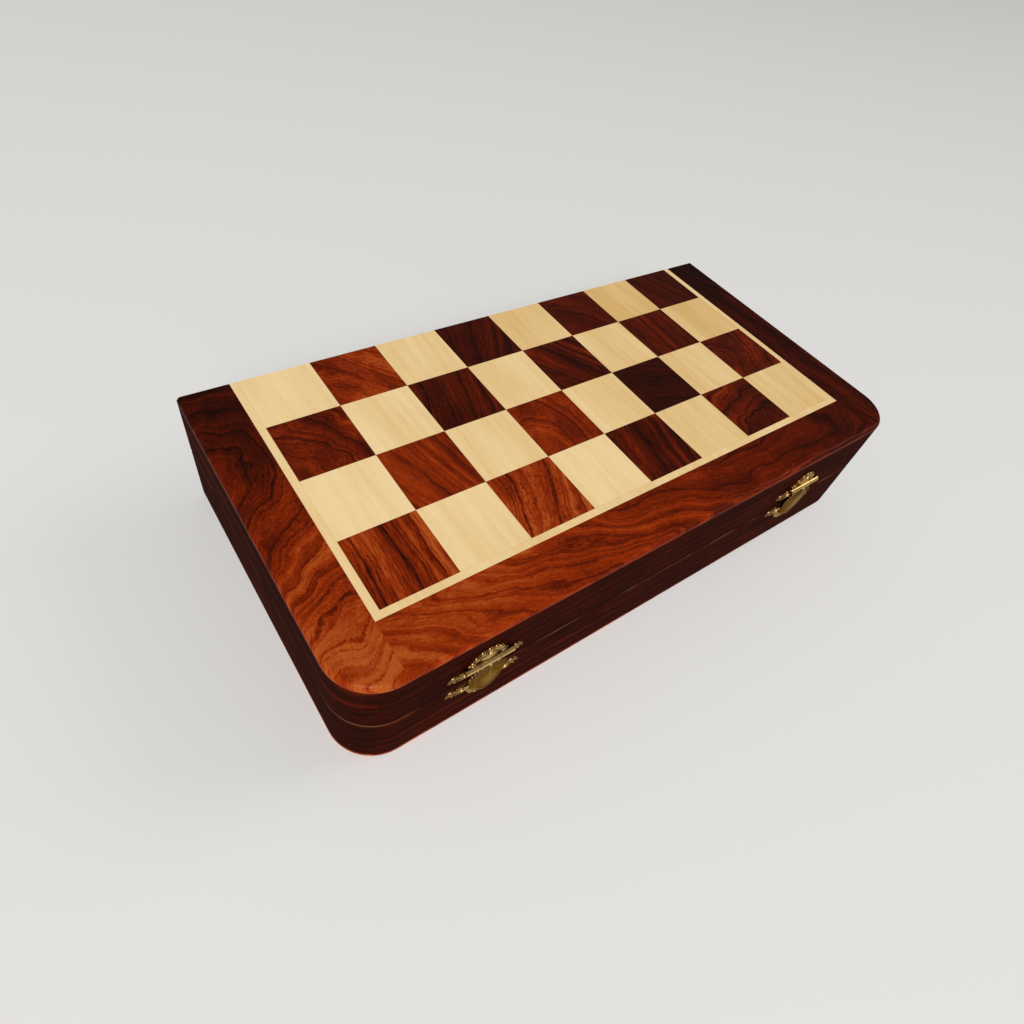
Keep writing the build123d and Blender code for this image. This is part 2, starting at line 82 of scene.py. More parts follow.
class ChessWoodSettings(bpy.types.PropertyGroup):
    """Colours and finish of the two woods."""

    rosewood_black: FloatVectorProperty(
        name="Rosewood streak", description="Darkest streaks of the rosewood",
        subtype="COLOR", size=3, min=0, max=1, default=(0.011, 0.0025, 0.001))
    rosewood_dark: FloatVectorProperty(
        name="Rosewood dark", description="Dark heartwood between the streaks",
        subtype="COLOR", size=3, min=0, max=1, default=(0.036, 0.0040, 0.0013))
    rosewood_red: FloatVectorProperty(
        name="Rosewood red", description="Red-brown body of the rosewood",
        subtype="COLOR", size=3, min=0, max=1, default=(0.108, 0.0090, 0.0012))
    rosewood_orange: FloatVectorProperty(
        name="Rosewood orange", description="Orange-brown bands of the rosewood",
        subtype="COLOR", size=3, min=0, max=1, default=(0.285, 0.027, 0.0020))
    rosewood_pale: FloatVectorProperty(
        name="Rosewood pale", description="Palest tan of the rosewood",
        subtype="COLOR", size=3, min=0, max=1, default=(0.420, 0.084, 0.0130))
    boxwood_pale: FloatVectorProperty(
        name="Boxwood pale", description="Cream body of the boxwood",
        subtype="COLOR", size=3, min=0, max=1, default=(0.900, 0.670, 0.350))
    boxwood_deep: FloatVectorProperty(
        name="Boxwood deep", description="Straw-coloured streaks of the boxwood",
        subtype="COLOR", size=3, min=0, max=1, default=(0.700, 0.440, 0.160))
    # Paler arris at the seam: partly wear and partly a painted highlight where light catches the arris
    worn_and_highlit_arris: FloatVectorProperty(
        name="Worn and highlit edge", description="Paler wood along the arris at the seam",
        subtype="COLOR", size=3, min=0, max=1, default=(0.190, 0.075, 0.032))
    lacquer_roughness: FloatProperty(
        name="Lacquer roughness", description="Roughness of the clear lacquer on the board",
        subtype="FACTOR", min=0, max=1, default=0.16)


class ChessBrassSettings(bpy.types.PropertyGroup):
    """Colour and polish of the brass hardware."""

    brass: FloatVectorProperty(
        name="Brass", description="Colour of the polished brass",
        subtype="COLOR", size=3, min=0, max=1, default=(0.70, 0.47, 0.19))
    # The tarnish colour also paints shade: the low parts of the brass are darkened with it as a painted
    # dark reflection
    tarnish: FloatVectorProperty(
        name="Tarnish", description="Colour of the brass in its dull hollows",
        subtype="COLOR", size=3, min=0, max=1, default=(0.090, 0.036, 0.012))
    edge_tint: FloatVectorProperty(
        name="Edge tint", description="Tint of what the brass mirrors at a glancing angle",
        subtype="COLOR", size=3, min=0, max=1, default=(0.66, 0.52, 0.36))
    polish: FloatProperty(
        name="Polish", description="Roughness of the polished brass",
        subtype="FACTOR", min=0, max=1, default=0.16)


class ChessInsertSettings(bpy.types.PropertyGroup):
    """Colour of the flocked inserts."""

    felt: FloatVectorProperty(
        name="Felt", description="Colour of the flocking in the pockets",
        subtype="COLOR", size=3, min=0, max=1, default=(0.012, 0.060, 0.028))


class ChessStudioSettings(bpy.types.PropertyGroup):
    """Floor, lamps and camera."""

    floor: FloatVectorProperty(
        name="Floor", description="Colour of the floor",
        subtype="COLOR", size=3, min=0, max=1, default=(0.80, 0.79, 0.77))
    key_strength: FloatProperty(
        name="Key lamp", description="Radiance of the large lamp over the front left",
        min=0, default=28.5)
    fill_strength: FloatProperty(
        name="Fill lamp", description="Radiance of the lamp at the right",
        min=0, default=6.5)
    sky_strength: FloatProperty(
        name="Room light", description="Strength of the plain light from all round",
        min=0, default=0.27)
    lens: FloatProperty(
        name="Lens", description="Focal length on a 36 mm wide sensor, in millimetres",
        min=1, default=23.09)


# Node building
class Wire:
    """A value on its way through a tree of nodes, with the usual arithmetic on numbers and vectors."""

    def __init__(self, tree, socket):
        self.tree = tree
        self.socket = socket

    def __add__(self, other):
        return calc("ADD", self, other)

    def __sub__(self, other):
        return calc("SUBTRACT", self, other)

    def __rsub__(self, other):
        return calc("SUBTRACT", other, self)

    def __mul__(self, other):
        return calc("MULTIPLY", self, other)

    def __truediv__(self, other):
        return calc("DIVIDE", self, other)


def feed(socket, value):
    """Link a wire to a socket, or set the socket's own value."""
    if isinstance(value, Wire):
        value.tree.links.new(value.socket, socket)
    elif socket.type == "RGBA":
        socket.default_value = (*value[:3], 1.0)
    else:
        socket.default_value = value


def first_wire(values):
    return next(value for value in values if isinstance(value, Wire))


def add(kind, inputs, out=0, **settings):
    """Add a node that at least one wire feeds, and give back one of its outputs."""
    tree = first_wire(inputs.values()).tree
    node = tree.nodes.new(kind)
    for name, value in settings.items():
        setattr(node, name, value)
    for name, value in inputs.items():
        feed(node.inputs[name], value)
    return Wire(tree, node.outputs[out])


def calc(operation, *values, clamp=False):
    """One step of arithmetic, on vectors where its first wire carries one."""
    inputs = dict(enumerate(values))
    if first_wire(values).socket.type == "VALUE":
        return add("ShaderNodeMath", inputs, operation=operation, use_clamp=clamp)
    out = "Value" if operation == "LENGTH" else "Vector"
    return add("ShaderNodeVectorMath", inputs, out, operation=operation)


def blend(factor, first, second):
    """Mix two colours."""
    return add("ShaderNodeMix", {0: factor, 6: first, 7: second}, 2, data_type="RGBA")


def noise(vector, scale, detail=2.0, roughness=0.5, out="Fac"):
    inputs = {"Vector": vector, "Scale": scale, "Detail": detail, "Roughness": roughness}
    return add("ShaderNodeTexNoise", inputs, out)


def line_noise(value, scale, detail=2.0, roughness=0.5):
    """Noise along one number."""
    inputs = {"W": value, "Scale": scale, "Detail": detail, "Roughness": roughness}
    return add("ShaderNodeTexNoise", inputs, "Fac", noise_dimensions="1D")


def cells(vector, scale):
    """The distance from the nearest of many scattered points."""
    return add("ShaderNodeTexVoronoi", {"Vector": vector, "Scale": scale}, "Distance")


def step(value, start, end):
    """0 before start, 1 past end and a smooth rise between."""
    inputs = {"Value": value, "From Min": start, "From Max": end}
    return add("ShaderNodeMapRange", inputs, interpolation_type="SMOOTHSTEP")


def layered(level, *layers):
    """A level with patterns from 0 to 1 laid over it, each a swing about 0 by its own amount."""
    for pattern, amount in layers:
        level = (pattern - 0.5) * amount + level
    return level


def ramp(value, stops, interpolation="LINEAR"):
    """The colour at a value, from stops of (place, colour)."""
    node = value.tree.nodes.new("ShaderNodeValToRGB")
    feed(node.inputs["Fac"], value)
    band = node.color_ramp
    band.interpolation = interpolation
    while len(band.elements) < len(stops):
        band.elements.new(1.0)
    for element, (place, colour) in zip(band.elements, stops):
        element.position = place
        element.color = (*colour[:3], 1.0)
    return Wire(value.tree, node.outputs["Color"])


def parts_of(vector):
    """The x, y and z of a vector."""
    node = vector.tree.nodes.new("ShaderNodeSeparateXYZ")
    feed(node.inputs[0], vector)
    return [Wire(vector.tree, part) for part in node.outputs]


def join(x, y=0.0, z=0.0):
    """A vector from its x, y and z."""
    return add("ShaderNodeCombineXYZ", {"X": x, "Y": y, "Z": z})


def swivel(vector, angle, axis):
    return add("ShaderNodeVectorRotate", {"Vector": vector, "Angle": angle}, rotation_type=f"{axis}_AXIS")


def relief(height, strength, depth):
    """The normal of a surface whose height is a pattern."""
    return add("ShaderNodeBump", {"Strength": strength, "Distance": depth, "Height": height})


def effect(inputs, outputs):
    """Make a shader node group of a function that lays out nodes. The group is built once, and the
    function then places it. An input without a default is a vector."""
    def wrap(lay_out):
        name = lay_out.__name__.replace("_", " ").title()

        def build():
            tree = bpy.data.node_groups.new(name, "ShaderNodeTree")
            for label, default in inputs.items():
                kind = "NodeSocketVector" if default is None else "NodeSocketFloat"
                socket = tree.interface.new_socket(label, in_out="INPUT", socket_type=kind)
                if default is not None:
                    socket.default_value = default
            for label, kind in outputs.items():
                tree.interface.new_socket(label, in_out="OUTPUT", socket_type=f"NodeSocket{kind}")
            entry = tree.nodes.new("NodeGroupInput")
            leave = tree.nodes.new("NodeGroupOutput")
            results = lay_out(*[Wire(tree, entry.outputs[label]) for label in inputs])
            for label, result in zip(outputs, results):
                feed(leave.inputs[label], result)
            return tree

        @functools.wraps(lay_out)
        def place(*values):
            tree = first_wire(values).tree
            node = tree.nodes.new("ShaderNodeGroup")
            node.node_tree = bpy.data.node_groups.get(name) or build()
            for label, value in zip(inputs, values):
                feed(node.inputs[label], value)
            return [Wire(tree, node.outputs[label]) for label in outputs]
        return place
    return wrap


# Rosewood: rings about the heart of a log, streaks along the grain and open pores.
# The vector is in millimetres, with the heart of the log along Y.
WOOD_OUTPUTS = {"Color": "Color", "Height": "Float"}
ROSEWOOD_INPUTS = {"Vector": None, "Tone": 0.5, "Contrast": 1.0, "Streaks": 1.0, "Drift": 12.0}
RIPPLE = (2.6, 0.0, 2.6)
JAG = (1.5, 0.0, 1.5)


def along_grain(vector, share):
    """The vector with its length along the grain scaled, so that a pattern on it is drawn out."""
    return vector * (1.0, share, 1.0)


def wander(vector, scale, detail, amount):
    """A shift that wanders by an amount each way, in millimetres."""
    return (noise(vector, scale, detail, 0.6, "Color") - (0.5, 0.5, 0.5)) * amount


@effect(ROSEWOOD_INPUTS, WOOD_OUTPUTS)
def rosewood(vector, tone, contrast, streaks, drift):
    """The colour and height of rosewood at a place in its log."""
    wood = bpy.context.scene.chess_wood
    bent = vector + wander(along_grain(vector, 0.3), 0.035, 2.0, join(drift, 0.0, drift))
    bent = bent + wander(along_grain(vector, 0.35), 0.2, 3.0, RIPPLE)
    bent = bent + wander(along_grain(vector, 0.14), 1.1, 3.0, JAG)
    across, _, deep = parts_of(bent)
    ring = calc("LENGTH", join(across, 0.0, deep))

    band = line_noise(ring, 0.17, 5.0, 0.72)
    cloud = noise(along_grain(vector, 0.4), 0.055, 3.0, 0.6)
    mottle = noise(along_grain(vector, 0.3), 0.42, 3.0, 0.65)
    fibre = noise(along_grain(vector, 0.09), 1.6, 4.0, 0.7)
    thread = noise(along_grain(vector, 0.03), 5.0, 2.0, 0.6)
    figure = layered(0.0, (band, 1.25), (cloud, 0.7), (mottle, 0.34), (fibre, 0.62), (thread, 0.2))
    streak = step(line_noise(ring + 331.0, 0.6), 0.54, 0.68) * step(mottle, 0.36, 0.58)
    level = figure * contrast + tone - streak * streaks * 0.36
    colour = ramp(level, [
        (0.02, wood.rosewood_black),
        (0.25, wood.rosewood_dark),
        (0.50, wood.rosewood_red),
        (0.76, wood.rosewood_orange),
        (1.00, wood.rosewood_pale),
    ])
    pore = step(cells(along_grain(bent, 0.12), 1.5), 0.26, 0.12)
    return blend(pore * 0.5, colour, wood.rosewood_black), fibre * 0.25 - pore


@effect({"Vector": None, "Tone": 0.3}, WOOD_OUTPUTS)
def boxwood(vector, tone):
    """The colour and height of boxwood: pale and close-grained, with faint straw streaks along Y."""
    wood = bpy.context.scene.chess_wood
    drift = noise(along_grain(vector, 0.2), 0.06)
    broad = noise(along_grain(vector, 0.05), 0.28, 3.0, 0.6)
    fine = noise(along_grain(vector, 0.045), 1.8, 3.0, 0.6)
    fleck = step(cells(along_grain(vector, 0.22), 0.7), 0.16, 0.06)
    level = layered(tone, (drift, 1.0), (broad, 0.9), (fine, 0.4))
    level = calc("MULTIPLY_ADD", fleck, 0.35, level, clamp=True)
    return blend(level, wood.boxwood_pale, wood.boxwood_deep), fine - fleck * 0.5


def finish(name, look):
    """A material. From the place on the resting box, in millimetres, look gives what the sockets of
    its shader hold."""
    material = bpy.data.materials.new(name)
    material.use_nodes = True
    tree = material.node_tree
    shader = tree.nodes["Principled BSDF"]
    place = Wire(tree, tree.nodes.new("ShaderNodeTexCoord").outputs["Object"])
    for socket, value in look(place * (1 / MM, 1 / MM, 1 / MM)).items():
        feed(shader.inputs[socket], value)
    return material


def lacquered(name, grain, roughness=None, coat=0.2):
    """Clear-lacquered wood: grain gives its colour and height."""
    if roughness is None:
        roughness = bpy.context.scene.chess_wood.lacquer_roughness

    def look(place):
        colour, height = grain(place)
        return {
            "Base Color": colour, "Normal": relief(height, 0.08, 0.0002),
            "Roughness": 0.5, "Specular IOR Level": 0.0,
            "Coat Weight": coat, "Coat Roughness": roughness, "Coat IOR": 1.4,
        }
    return finish(name, look)


def cut_from_log(place, centre, turn=(0.0, 0.0, 0.0), heart=(40.0, 0.0, 8.0)):
    """Where a piece lies in its log: turned about its centre, then moved off the heart."""
    rotation = Euler([math.radians(angle) for angle in turn])
    shift = Vector(heart) - rotation.to_matrix() @ Vector(centre)
    return add("ShaderNodeMapping", {"Vector": place, "Location": shift, "Rotation": rotation})


def rosewood_material(name, box, turn, heart, tones, axis=1, contrast=1.0, streaks=1.0, drift=12.0,
                      **lacquer):
    """Rosewood for a piece that fills a box, its tone changing from end to end along X (axis 0) or
    Y (axis 1)."""
    low, high = box

    def grain(place):
        tone = add("ShaderNodeMapRange", {
            "Value": parts_of(place)[axis], "From Min": low[axis], "From Max": high[axis],
            "To Min": tones[0], "To Max": tones[1]})
        vector = cut_from_log(place, (low + high) / 2, turn, heart)
        return rosewood(vector, tone, contrast, streaks, drift)
    return lacquered(name, grain, **lacquer)


def boxwood_material(name, turn=(0, 0, 0), tone=0.25, **lacquer):
    def grain(place):
        return boxwood(cut_from_log(place, (0, 0, 0), turn), tone)
    return lacquered(name, grain, **lacquer)


def paint(node, material):
    """Give a CAD node its material."""
    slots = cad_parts[node].material_slots
    if not slots:
        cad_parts[node].data.materials.append(material)
    for slot in slots:
        slot.material = material


# The squares: every dark one is cut from the log its own way. Its grain turns from the hinge
# direction and rises out of the face, both in degrees. The heart of the log lies some millimetres
# off. The tone goes from dark to pale, the contrast is that of the bands, the streaks are dark, and
# the grain drifts by some millimetres.
Cut = namedtuple("Cut", "turn rise heart tone contrast streaks drift")
LOWEST_CUT = Cut(-90.0, 0.0, 0.0, 0.0, 0.0, 0.0, 0.0)
HIGHEST_CUT = Cut(90.0, 60.0, 60.0, 1.0, 2.0, 2.0, 40.0)

# Four dark squares to a row, from the left, the row at the hinges first
DARK_CUTS = [
    Cut(38, 18, 15, 0.65, 1.2, 0.5, 20), Cut(-24, 4, 34, 0.30, 0.7, 0.6, 12),
    Cut(30, 30, 20, 0.35, 0.6, 0.2, 24), Cut(20, 8, 40, 0.30, 0.4, 0.2, 12),

    Cut(20, 54, 22, 0.50, 1.0, 0.3, 28), Cut(-18, 10, 26, 0.35, 0.8, 0.9, 18),
    Cut(30, 6, 30, 0.40, 1.0, 0.9, 10), Cut(-3, 3, 44, 0.40, 0.7, 0.5, 5),

    Cut(12, 4, 36, 0.65, 0.7, 0.3, 12), Cut(-8, 42, 11, 0.60, 1.0, 0.5, 10),
    Cut(60, 30, 30, 0.20, 0.6, 0.4, 24), Cut(-36, 32, 14, 0.45, 1.1, 0.5, 14),

    Cut(-2, 1, 30, 0.70, 1.2, 1.1, 5), Cut(-34, 24, 24, 0.80, 1.2, 0.9, 12),
    Cut(-14, 5, 32, 0.35, 1.0, 0.8, 16), Cut(80, 40, 22, 0.40, 1.1, 0.5, 26),
]
LOG_STEP = 61.0
GLUE_LINE = 0.12
GLUE_COLOUR = (0.03, 0.008, 0.003)


@effect({"Vector": None}, {"Column": "Float", "Row": "Float", "Inside": "Vector", "Edge": "Float"})
def square_index(vector):
    """The column and row of a square, the place from its middle and the distance from its edge."""
    x, y, _ = parts_of(vector)
    column_place = (x - GRID_LEFT) / SQUARE
    row_place = (y - GRID_FRONT) / SQUARE
    column = calc("FLOOR", column_place)
    row = calc("FLOOR", row_place)
    inside_x = column_place - column - 0.5
    inside_y = row_place - row - 0.5
    edge = 0.5 - calc("MAXIMUM", calc("ABSOLUTE", inside_x), calc("ABSOLUTE", inside_y))
    return column, row, join(inside_x, inside_y) * (SQUARE, SQUARE, SQUARE), edge * SQUARE


def glue_line(edge, colour):
    """Darken the hairline of glue round a square."""
    return blend(step(edge, GLUE_LINE, 0.0) * 0.55, colour, GLUE_COLOUR)


def own_cut(order):
    """Each figure of a dark square's own cut, from the square's number."""
    for low, high, *figures in zip(LOWEST_CUT, HIGHEST_CUT, *DARK_CUTS):
        stops = []
        for number, figure in enumerate(figures):
            share = (figure - low) / (high - low)
            stops.append((number / len(figures), (share, share, share)))
        chosen = ramp((order + 0.5) / len(figures), stops, "CONSTANT")
        yield parts_of(chosen)[0] * (high - low) + low


def dark_squares_material(name, upper):
    """All dark squares of one half in one material, each with its own cut."""
    def grain(place):
        column, row, inside, edge = square_index(place)
        order = (ROWS - 1 - row) * (COLUMNS / 2) + calc("FLOOR", column / 2.0)
        if not upper:
            order = len(DARK_CUTS) - 1 - order
        turn, rise, heart, tone, contrast, streaks, drift = own_cut(order)
        vector = swivel(inside, turn * math.radians(-1), "Z")
        vector = swivel(vector, rise * math.radians(1), "X")
        vector = vector + join(heart, order * LOG_STEP, order * 0.7 + 4.0)
        colour, height = rosewood(vector, tone, contrast, streaks, drift)
        return glue_line(edge, colour), height
    return lacquered(name, grain)


def light_squares_material(name):
    """All light squares in one material, darker and yellower away from the front left corner: painted
    shade of the light falling off from that corner.
    """
    def grain(place):
        column, row, inside, edge = square_index(place)
        lot = add("ShaderNodeTexWhiteNoise", {"Vector": join(column, row)}, "Color",
                  noise_dimensions="3D")
        lot_x, lot_y, lot_z = parts_of(lot)
        vector = swivel(inside, (lot_x - 0.5) * 0.12, "Z") + join(lot_y * 500.0, lot_z * 900.0, 3.0)
        # Painted shade: the light's falloff from the front left corner, darker and yellower towards the
        # back right
        painted_falloff = calc("POWER", (column + row) / (COLUMNS + ROWS - 2), 1.6) * 0.95
        colour, height = boxwood(vector, lot_z * 0.16 + painted_falloff)
        return glue_line(edge, colour), height
    return lacquered(name, grain)


# Pieces copied from the frame, so that their edges can be eased
MERGE_DISTANCE = 0.002 * MM
FLAT_ANGLE = math.radians(0.5)


def merged_copy(node):
    """The frame's loose triangles of one node, merged into clean faces."""
    mesh = bmesh.new()
    mesh.from_mesh(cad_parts[node].data)
    bmesh.ops.remove_doubles(mesh, verts=mesh.verts, dist=MERGE_DISTANCE)
    bmesh.ops.dissolve_limit(mesh, angle_limit=FLAT_ANGLE, verts=mesh.verts, edges=mesh.edges)
    return mesh


def ease(mesh, edges, width, segments=3):
    """Round off edges by a width in the mesh's own units."""
    bmesh.ops.bevel(mesh, geom=edges, offset=width, offset_type="OFFSET", affect="EDGES",
                    segments=segments, profile=0.5, material=-1, clamp_overlap=True)


def edges_over(mesh, angle):
    """Edges where faces meet at more than an angle in degrees."""
    return [edge for edge in mesh.edges
            if edge.is_manifold and edge.calc_face_angle() > math.radians(angle)]


def smooth_below(mesh, angle):
    """Smooth shading, but sharp where faces meet at more than an angle in degrees."""
    limit = math.radians(angle)
    for face in mesh.faces:
        face.smooth = True
    for edge in mesh.edges:
        edge.smooth = edge.is_manifold and edge.calc_face_angle() < limit


def new_object(name, mesh, material=None):
    """An object of its own from a bmesh, which is used up."""
    data = bpy.data.meshes.new(name)
    mesh.to_mesh(data)
    mesh.free()
    if material:
        data.materials.append(material)
    item = bpy.data.objects.new(name, data)
    bpy.context.scene.collection.objects.link(item)
    return item


def finished(name, mesh, body, material, replaced, sharp_angle=35, weighted=True):
    """Turn a bmesh into a piece of the object."""
    smooth_below(mesh, sharp_angle)
    piece = new_object(name, mesh, material)
    if weighted:
        normals = piece.modifiers.new("Even normals", "WEIGHTED_NORMAL")
        normals.keep_sharp = True
    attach(piece, body)
    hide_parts(replaced)


RIM_EASE = 0.5 * MM
ARRIS_EASE = 0.15 * MM
LEAF_EASE = 0.08 * MM
POCKET_EASE = 0.7 * MM


def slanting_edges(mesh, low, high):
    """Edges of the small bevels, where faces meet at about 45 degrees, between two heights."""
    return [edge for edge in edges_over(mesh, 30)
            if math.degrees(edge.calc_face_angle()) < 60
            and low < (edge.verts[0].co.z + edge.verts[1].co.z) / 2 / MM < high]


def eased_wood(half, part, material):
    """A rail or border slab with its outer rim and its arris at the seam rounded."""
    node = f"{half}_{part}"
    mesh = merged_copy(node)
    ease(mesh, slanting_edges(mesh, SEAM - 2, SEAM + 2), ARRIS_EASE, 2)
    ease(mesh, slanting_edges(mesh, -1, 3) + slanting_edges(mesh, BOX_TOP - 3, BOX_TOP + 1), RIM_EASE)
    finished(f"{node}_wood", mesh, f"{half}_half", material, node)


# How far from the middle of the seam the arris is paler, and where it starts: partly wear and partly a
# painted highlight where light catches the arris
SEAM_WEAR_AND_HIGHLIGHT = (0.40, 0.68)
SEAM_GAP = SEAM - node_box("lower_front_rail")[1].z
RAIL_COAT = 0.03
RAIL_ROUGHNESS = 0.26


def rail_material(name, centre, turn, heart, tone):
    """Dark satin rosewood, paler along the arris at the seam: partly wear and partly a painted highlight.
    """
    def grain(place):
        colour, height = rosewood(cut_from_log(place, centre, turn, heart), tone, 0.6, 0.6, 8.0)
        near = calc("ABSOLUTE", parts_of(place)[2] - SEAM)
        arris = step(near, SEAM_WEAR_AND_HIGHLIGHT[1], SEAM_WEAR_AND_HIGHLIGHT[0]) * step(near, SEAM_GAP + 0.02, SEAM_GAP + 0.1)
        patchy = step(noise(place, 0.05, 3.0), 0.36, 0.66)
        # Blend the arris towards the paler colour: wear and a painted highlight
        return blend(arris * patchy * 0.8, colour, bpy.context.scene.chess_wood.worn_and_highlit_arris), height
    return lacquered(name, grain, RAIL_ROUGHNESS, RAIL_COAT)


# Every rail and border slab has its own billet: the turn in its log, the heart and the tone
ALONG_X = (90, 0, 90)
ALONG_Y = (0, 90, 0)
RAIL_BILLETS = {
    "front_rail": (ALONG_X, 0.20),
    "back_rail": (ALONG_X, 0.24),
    "left_rail": (ALONG_Y, 0.21),
    "right_rail": (ALONG_Y, 0.18),
}
# Turn, heart, tone at the low and the high end, axis of the length, and contrast, streaks and drift
# The tones run pale at the front left and dark at the back right: partly the wood's own tone and partly
# painted shade, the light falling off away from the front left corner
BORDER_BILLETS = {
    "border_left": ((-50, 0, 20), (14, 0, 16), (0.92, 0.18), 1, (0.9, 0.75, 24.0)),
    "border_right": ((12, 0, -5), (22, 400, 10), (0.36, 0.06), 1, (0.9, 0.75, 24.0)),
    "border_front": ((-14, 22, 96), (28, 820, 12), (0.82, 0.33), 0, (0.75, 0.5, 30.0)),
}


class CHESS_OT_rails(bpy.types.Operator):
    """Make the side, front and back rails of both halves"""

    bl_idname = "chess.rails"
    bl_label = "Rails"

    def execute(self, context):
        for level, half in enumerate(HALVES):
            for order, (part, (turn, tone)) in enumerate(RAIL_BILLETS.items()):
                low, high = node_box(f"{half}_{part}")
                heart = (46 + 9 * order + 13 * level, 300 * (order + 4 * level), 6)
                material = rail_material(f"{half}_{part}_rosewood", (low + high) / 2, turn, heart, tone)
                eased_wood(half, part, material)
        return {"FINISHED"}


class CHESS_OT_borders(bpy.types.Operator):
    """Make the dark border slabs round the squares"""

    bl_idname = "chess.borders"
    bl_label = "Borders"

    def execute(self, context):
        for level, half in enumerate(HALVES):
            for part, (turn, heart, tones, axis, figure) in BORDER_BILLETS.items():
                heart = (heart[0] + 7 * level, heart[1] + 150 * level, heart[2])
                material = rosewood_material(
                    f"{half}_{part}_rosewood", node_box(f"{half}_{part}"), turn, heart, tones, axis,
                    *figure, coat=0.15)
                eased_wood(half, part, material)
        return {"FINISHED"}


class CHESS_OT_squares(bpy.types.Operator):
    """Finish the light and dark squares of both halves"""

    bl_idname = "chess.squares"
    bl_label = "Squares"

    def execute(self, context):
        light = light_squares_material("light_square_boxwood")
        for half in HALVES:
            dark = dark_squares_material(f"{half}_square_rosewood", half == "upper")
            paint(f"{half}_dark_squares", dark)
            paint(f"{half}_light_squares", light)
        return {"FINISHED"}


class CHESS_OT_strips(bpy.types.Operator):
    """Finish the pale inlay strips"""

    bl_idname = "chess.strips"
    bl_label = "Inlay strips"

    def execute(self, context):
        material = boxwood_material("strip_boxwood", tone=0.35)
        for half in HALVES:
            paint(f"{half}_inlay_strips", material)
        return {"FINISHED"}


# Brass is tarnished in clouds, and darkened with painted shade up to a height above the front of the box,
# a painted dark reflection on its low parts
@effect({"Vector": None, "Tarnish": 0.5, "Bright": 1.5},
        {"Color": "Color", "Roughness": "Float", "Height": "Float"})
def brass(vector, tarnish, bright):
    """The colour, roughness and height of brass."""
    metal = bpy.context.scene.chess_brass
    cloud = step(noise(vector, 0.22, 3.0, 0.6), 0.45, 0.75)
    # Painted shade: below a height above the front the brass is darkened, a painted dark reflection; the
    # clouds are tarnish
    painted_shade = step(FRONT - parts_of(vector)[1], bright, bright - 1.1)
    darkened = calc("MAXIMUM", cloud * 0.5, painted_shade) * tarnish
    return blend(darkened, metal.brass, metal.tarnish), darkened * 0.08 + metal.polish, noise(vector, 2.4)


def brass_material(name, tarnish=0.5, bright=1.5, shaded_below=None):
    """Brass darkened with painted shade, a painted dark reflection, up to a height above the front of the
    box and bright above it. Where a top for the shade is given, only what lies below it is shaded."""
    def look(place):
        amount = tarnish
        # On the hasp's shield, painted shade only below the given height
        if shaded_below is not None:
            amount = step(parts_of(place)[2], shaded_below + 0.6, shaded_below) * tarnish
        colour, roughness, height = brass(place, amount, bright)
        return {
            "Base Color": colour, "Roughness": roughness, "Metallic": 1.0,
            "Specular Tint": bpy.context.scene.chess_brass.edge_tint,
            "Normal": relief(height, 0.02, 0.0001),
        }
    return finish(name, look)


# Shapes for small hardware and men, drawn in millimetres
def at(*place):
    return Matrix.Translation(place)


def turned_by(angle, axis):
    """A turn by an angle in degrees."""
    return Matrix.Rotation(math.radians(angle), 4, axis)


def block(size, place):
    """A rectangular block, turned and moved to its place."""
    mesh = bmesh.new()
    bmesh.ops.create_cube(mesh, size=1.0, matrix=place @ Matrix.Diagonal((*size, 1.0)))
    return mesh


def bead(mesh, centre, radius, squash=(1.0, 1.0, 1.0), fineness=3):
    place = at(*centre) @ Matrix.Diagonal((*squash, 1.0))
    bmesh.ops.create_icosphere(mesh, subdivisions=fineness, radius=radius, matrix=place)


def limb(mesh, start, start_radius, end, end_radius):
    """A tapered round bar from one point to another."""
    run = Vector(end) - Vector(start)
    turn = run.to_track_quat("Z", "Y").to_matrix().to_4x4()
    place = Matrix.Translation((Vector(start) + Vector(end)) / 2) @ turn
    bmesh.ops.create_cone(mesh, cap_ends=True, segments=20, radius1=start_radius,
                          radius2=end_radius, depth=run.length, matrix=place)


def strand(mesh, stations):
    """A run of limbs and beads through stations of (place, radius)."""
    for place, radius in stations:
        bead(mesh, place, radius, fineness=2)
    for (start, start_radius), (end, end_radius) in zip(stations, stations[1:]):
        limb(mesh, start, start_radius, end, end_radius)


def curved(points, steps=4):
    """More points between the given ones, on a smooth curve through all of them."""
    ends = [points[0], *points, points[-1]]
    curve = []
    for before, start, end, after in zip(ends, ends[1:], ends[2:], ends[3:]):
        for index in range(steps):
            t = index / steps
            curve.append(tuple(
                0.5 * (2 * b + (c - a) * t + (2 * a - 5 * b + 4 * c - d) * t ** 2
                       + (3 * b - a - 3 * c + d) * t ** 3)
                for a, b, c, d in zip(before, start, end, after)))
    return [*curve, tuple(points[-1])]


def evaluated(mesh, prepare):
    """The mesh after the modifiers that prepare gives to it."""
    blank = new_object("blank", mesh)
    prepare(blank)
    graph = bpy.context.evaluated_depsgraph_get()
    made = bpy.data.meshes.new_from_object(blank.evaluated_get(graph))
    result = bmesh.new()
    result.from_mesh(made)
    bpy.data.meshes.remove(made)
    bpy.data.objects.remove(blank)
    return result


def cast(mesh, grain, rounds):
    """Fuse overlapping shapes into one casting and soften it."""
    def prepare(blank):
        fuse = blank.modifiers.new("Fuse", "REMESH")
        fuse.mode = "VOXEL"
        fuse.voxel_size = grain
        polish = blank.modifiers.new("Polish", "SMOOTH")
        polish.factor = 0.5
        polish.iterations = rounds
    return evaluated(mesh, prepare)


def carved(mesh, cutter):
    """Cut one mesh out of another."""
    tool = new_object("cutter", cutter)

    def prepare(blank):
        cut = blank.modifiers.new("Cut", "BOOLEAN")
        cut.operation = "DIFFERENCE"
        cut.solver = "EXACT"
        cut.object = tool

    result = evaluated(mesh, prepare)
    bpy.data.objects.remove(tool)
    return result


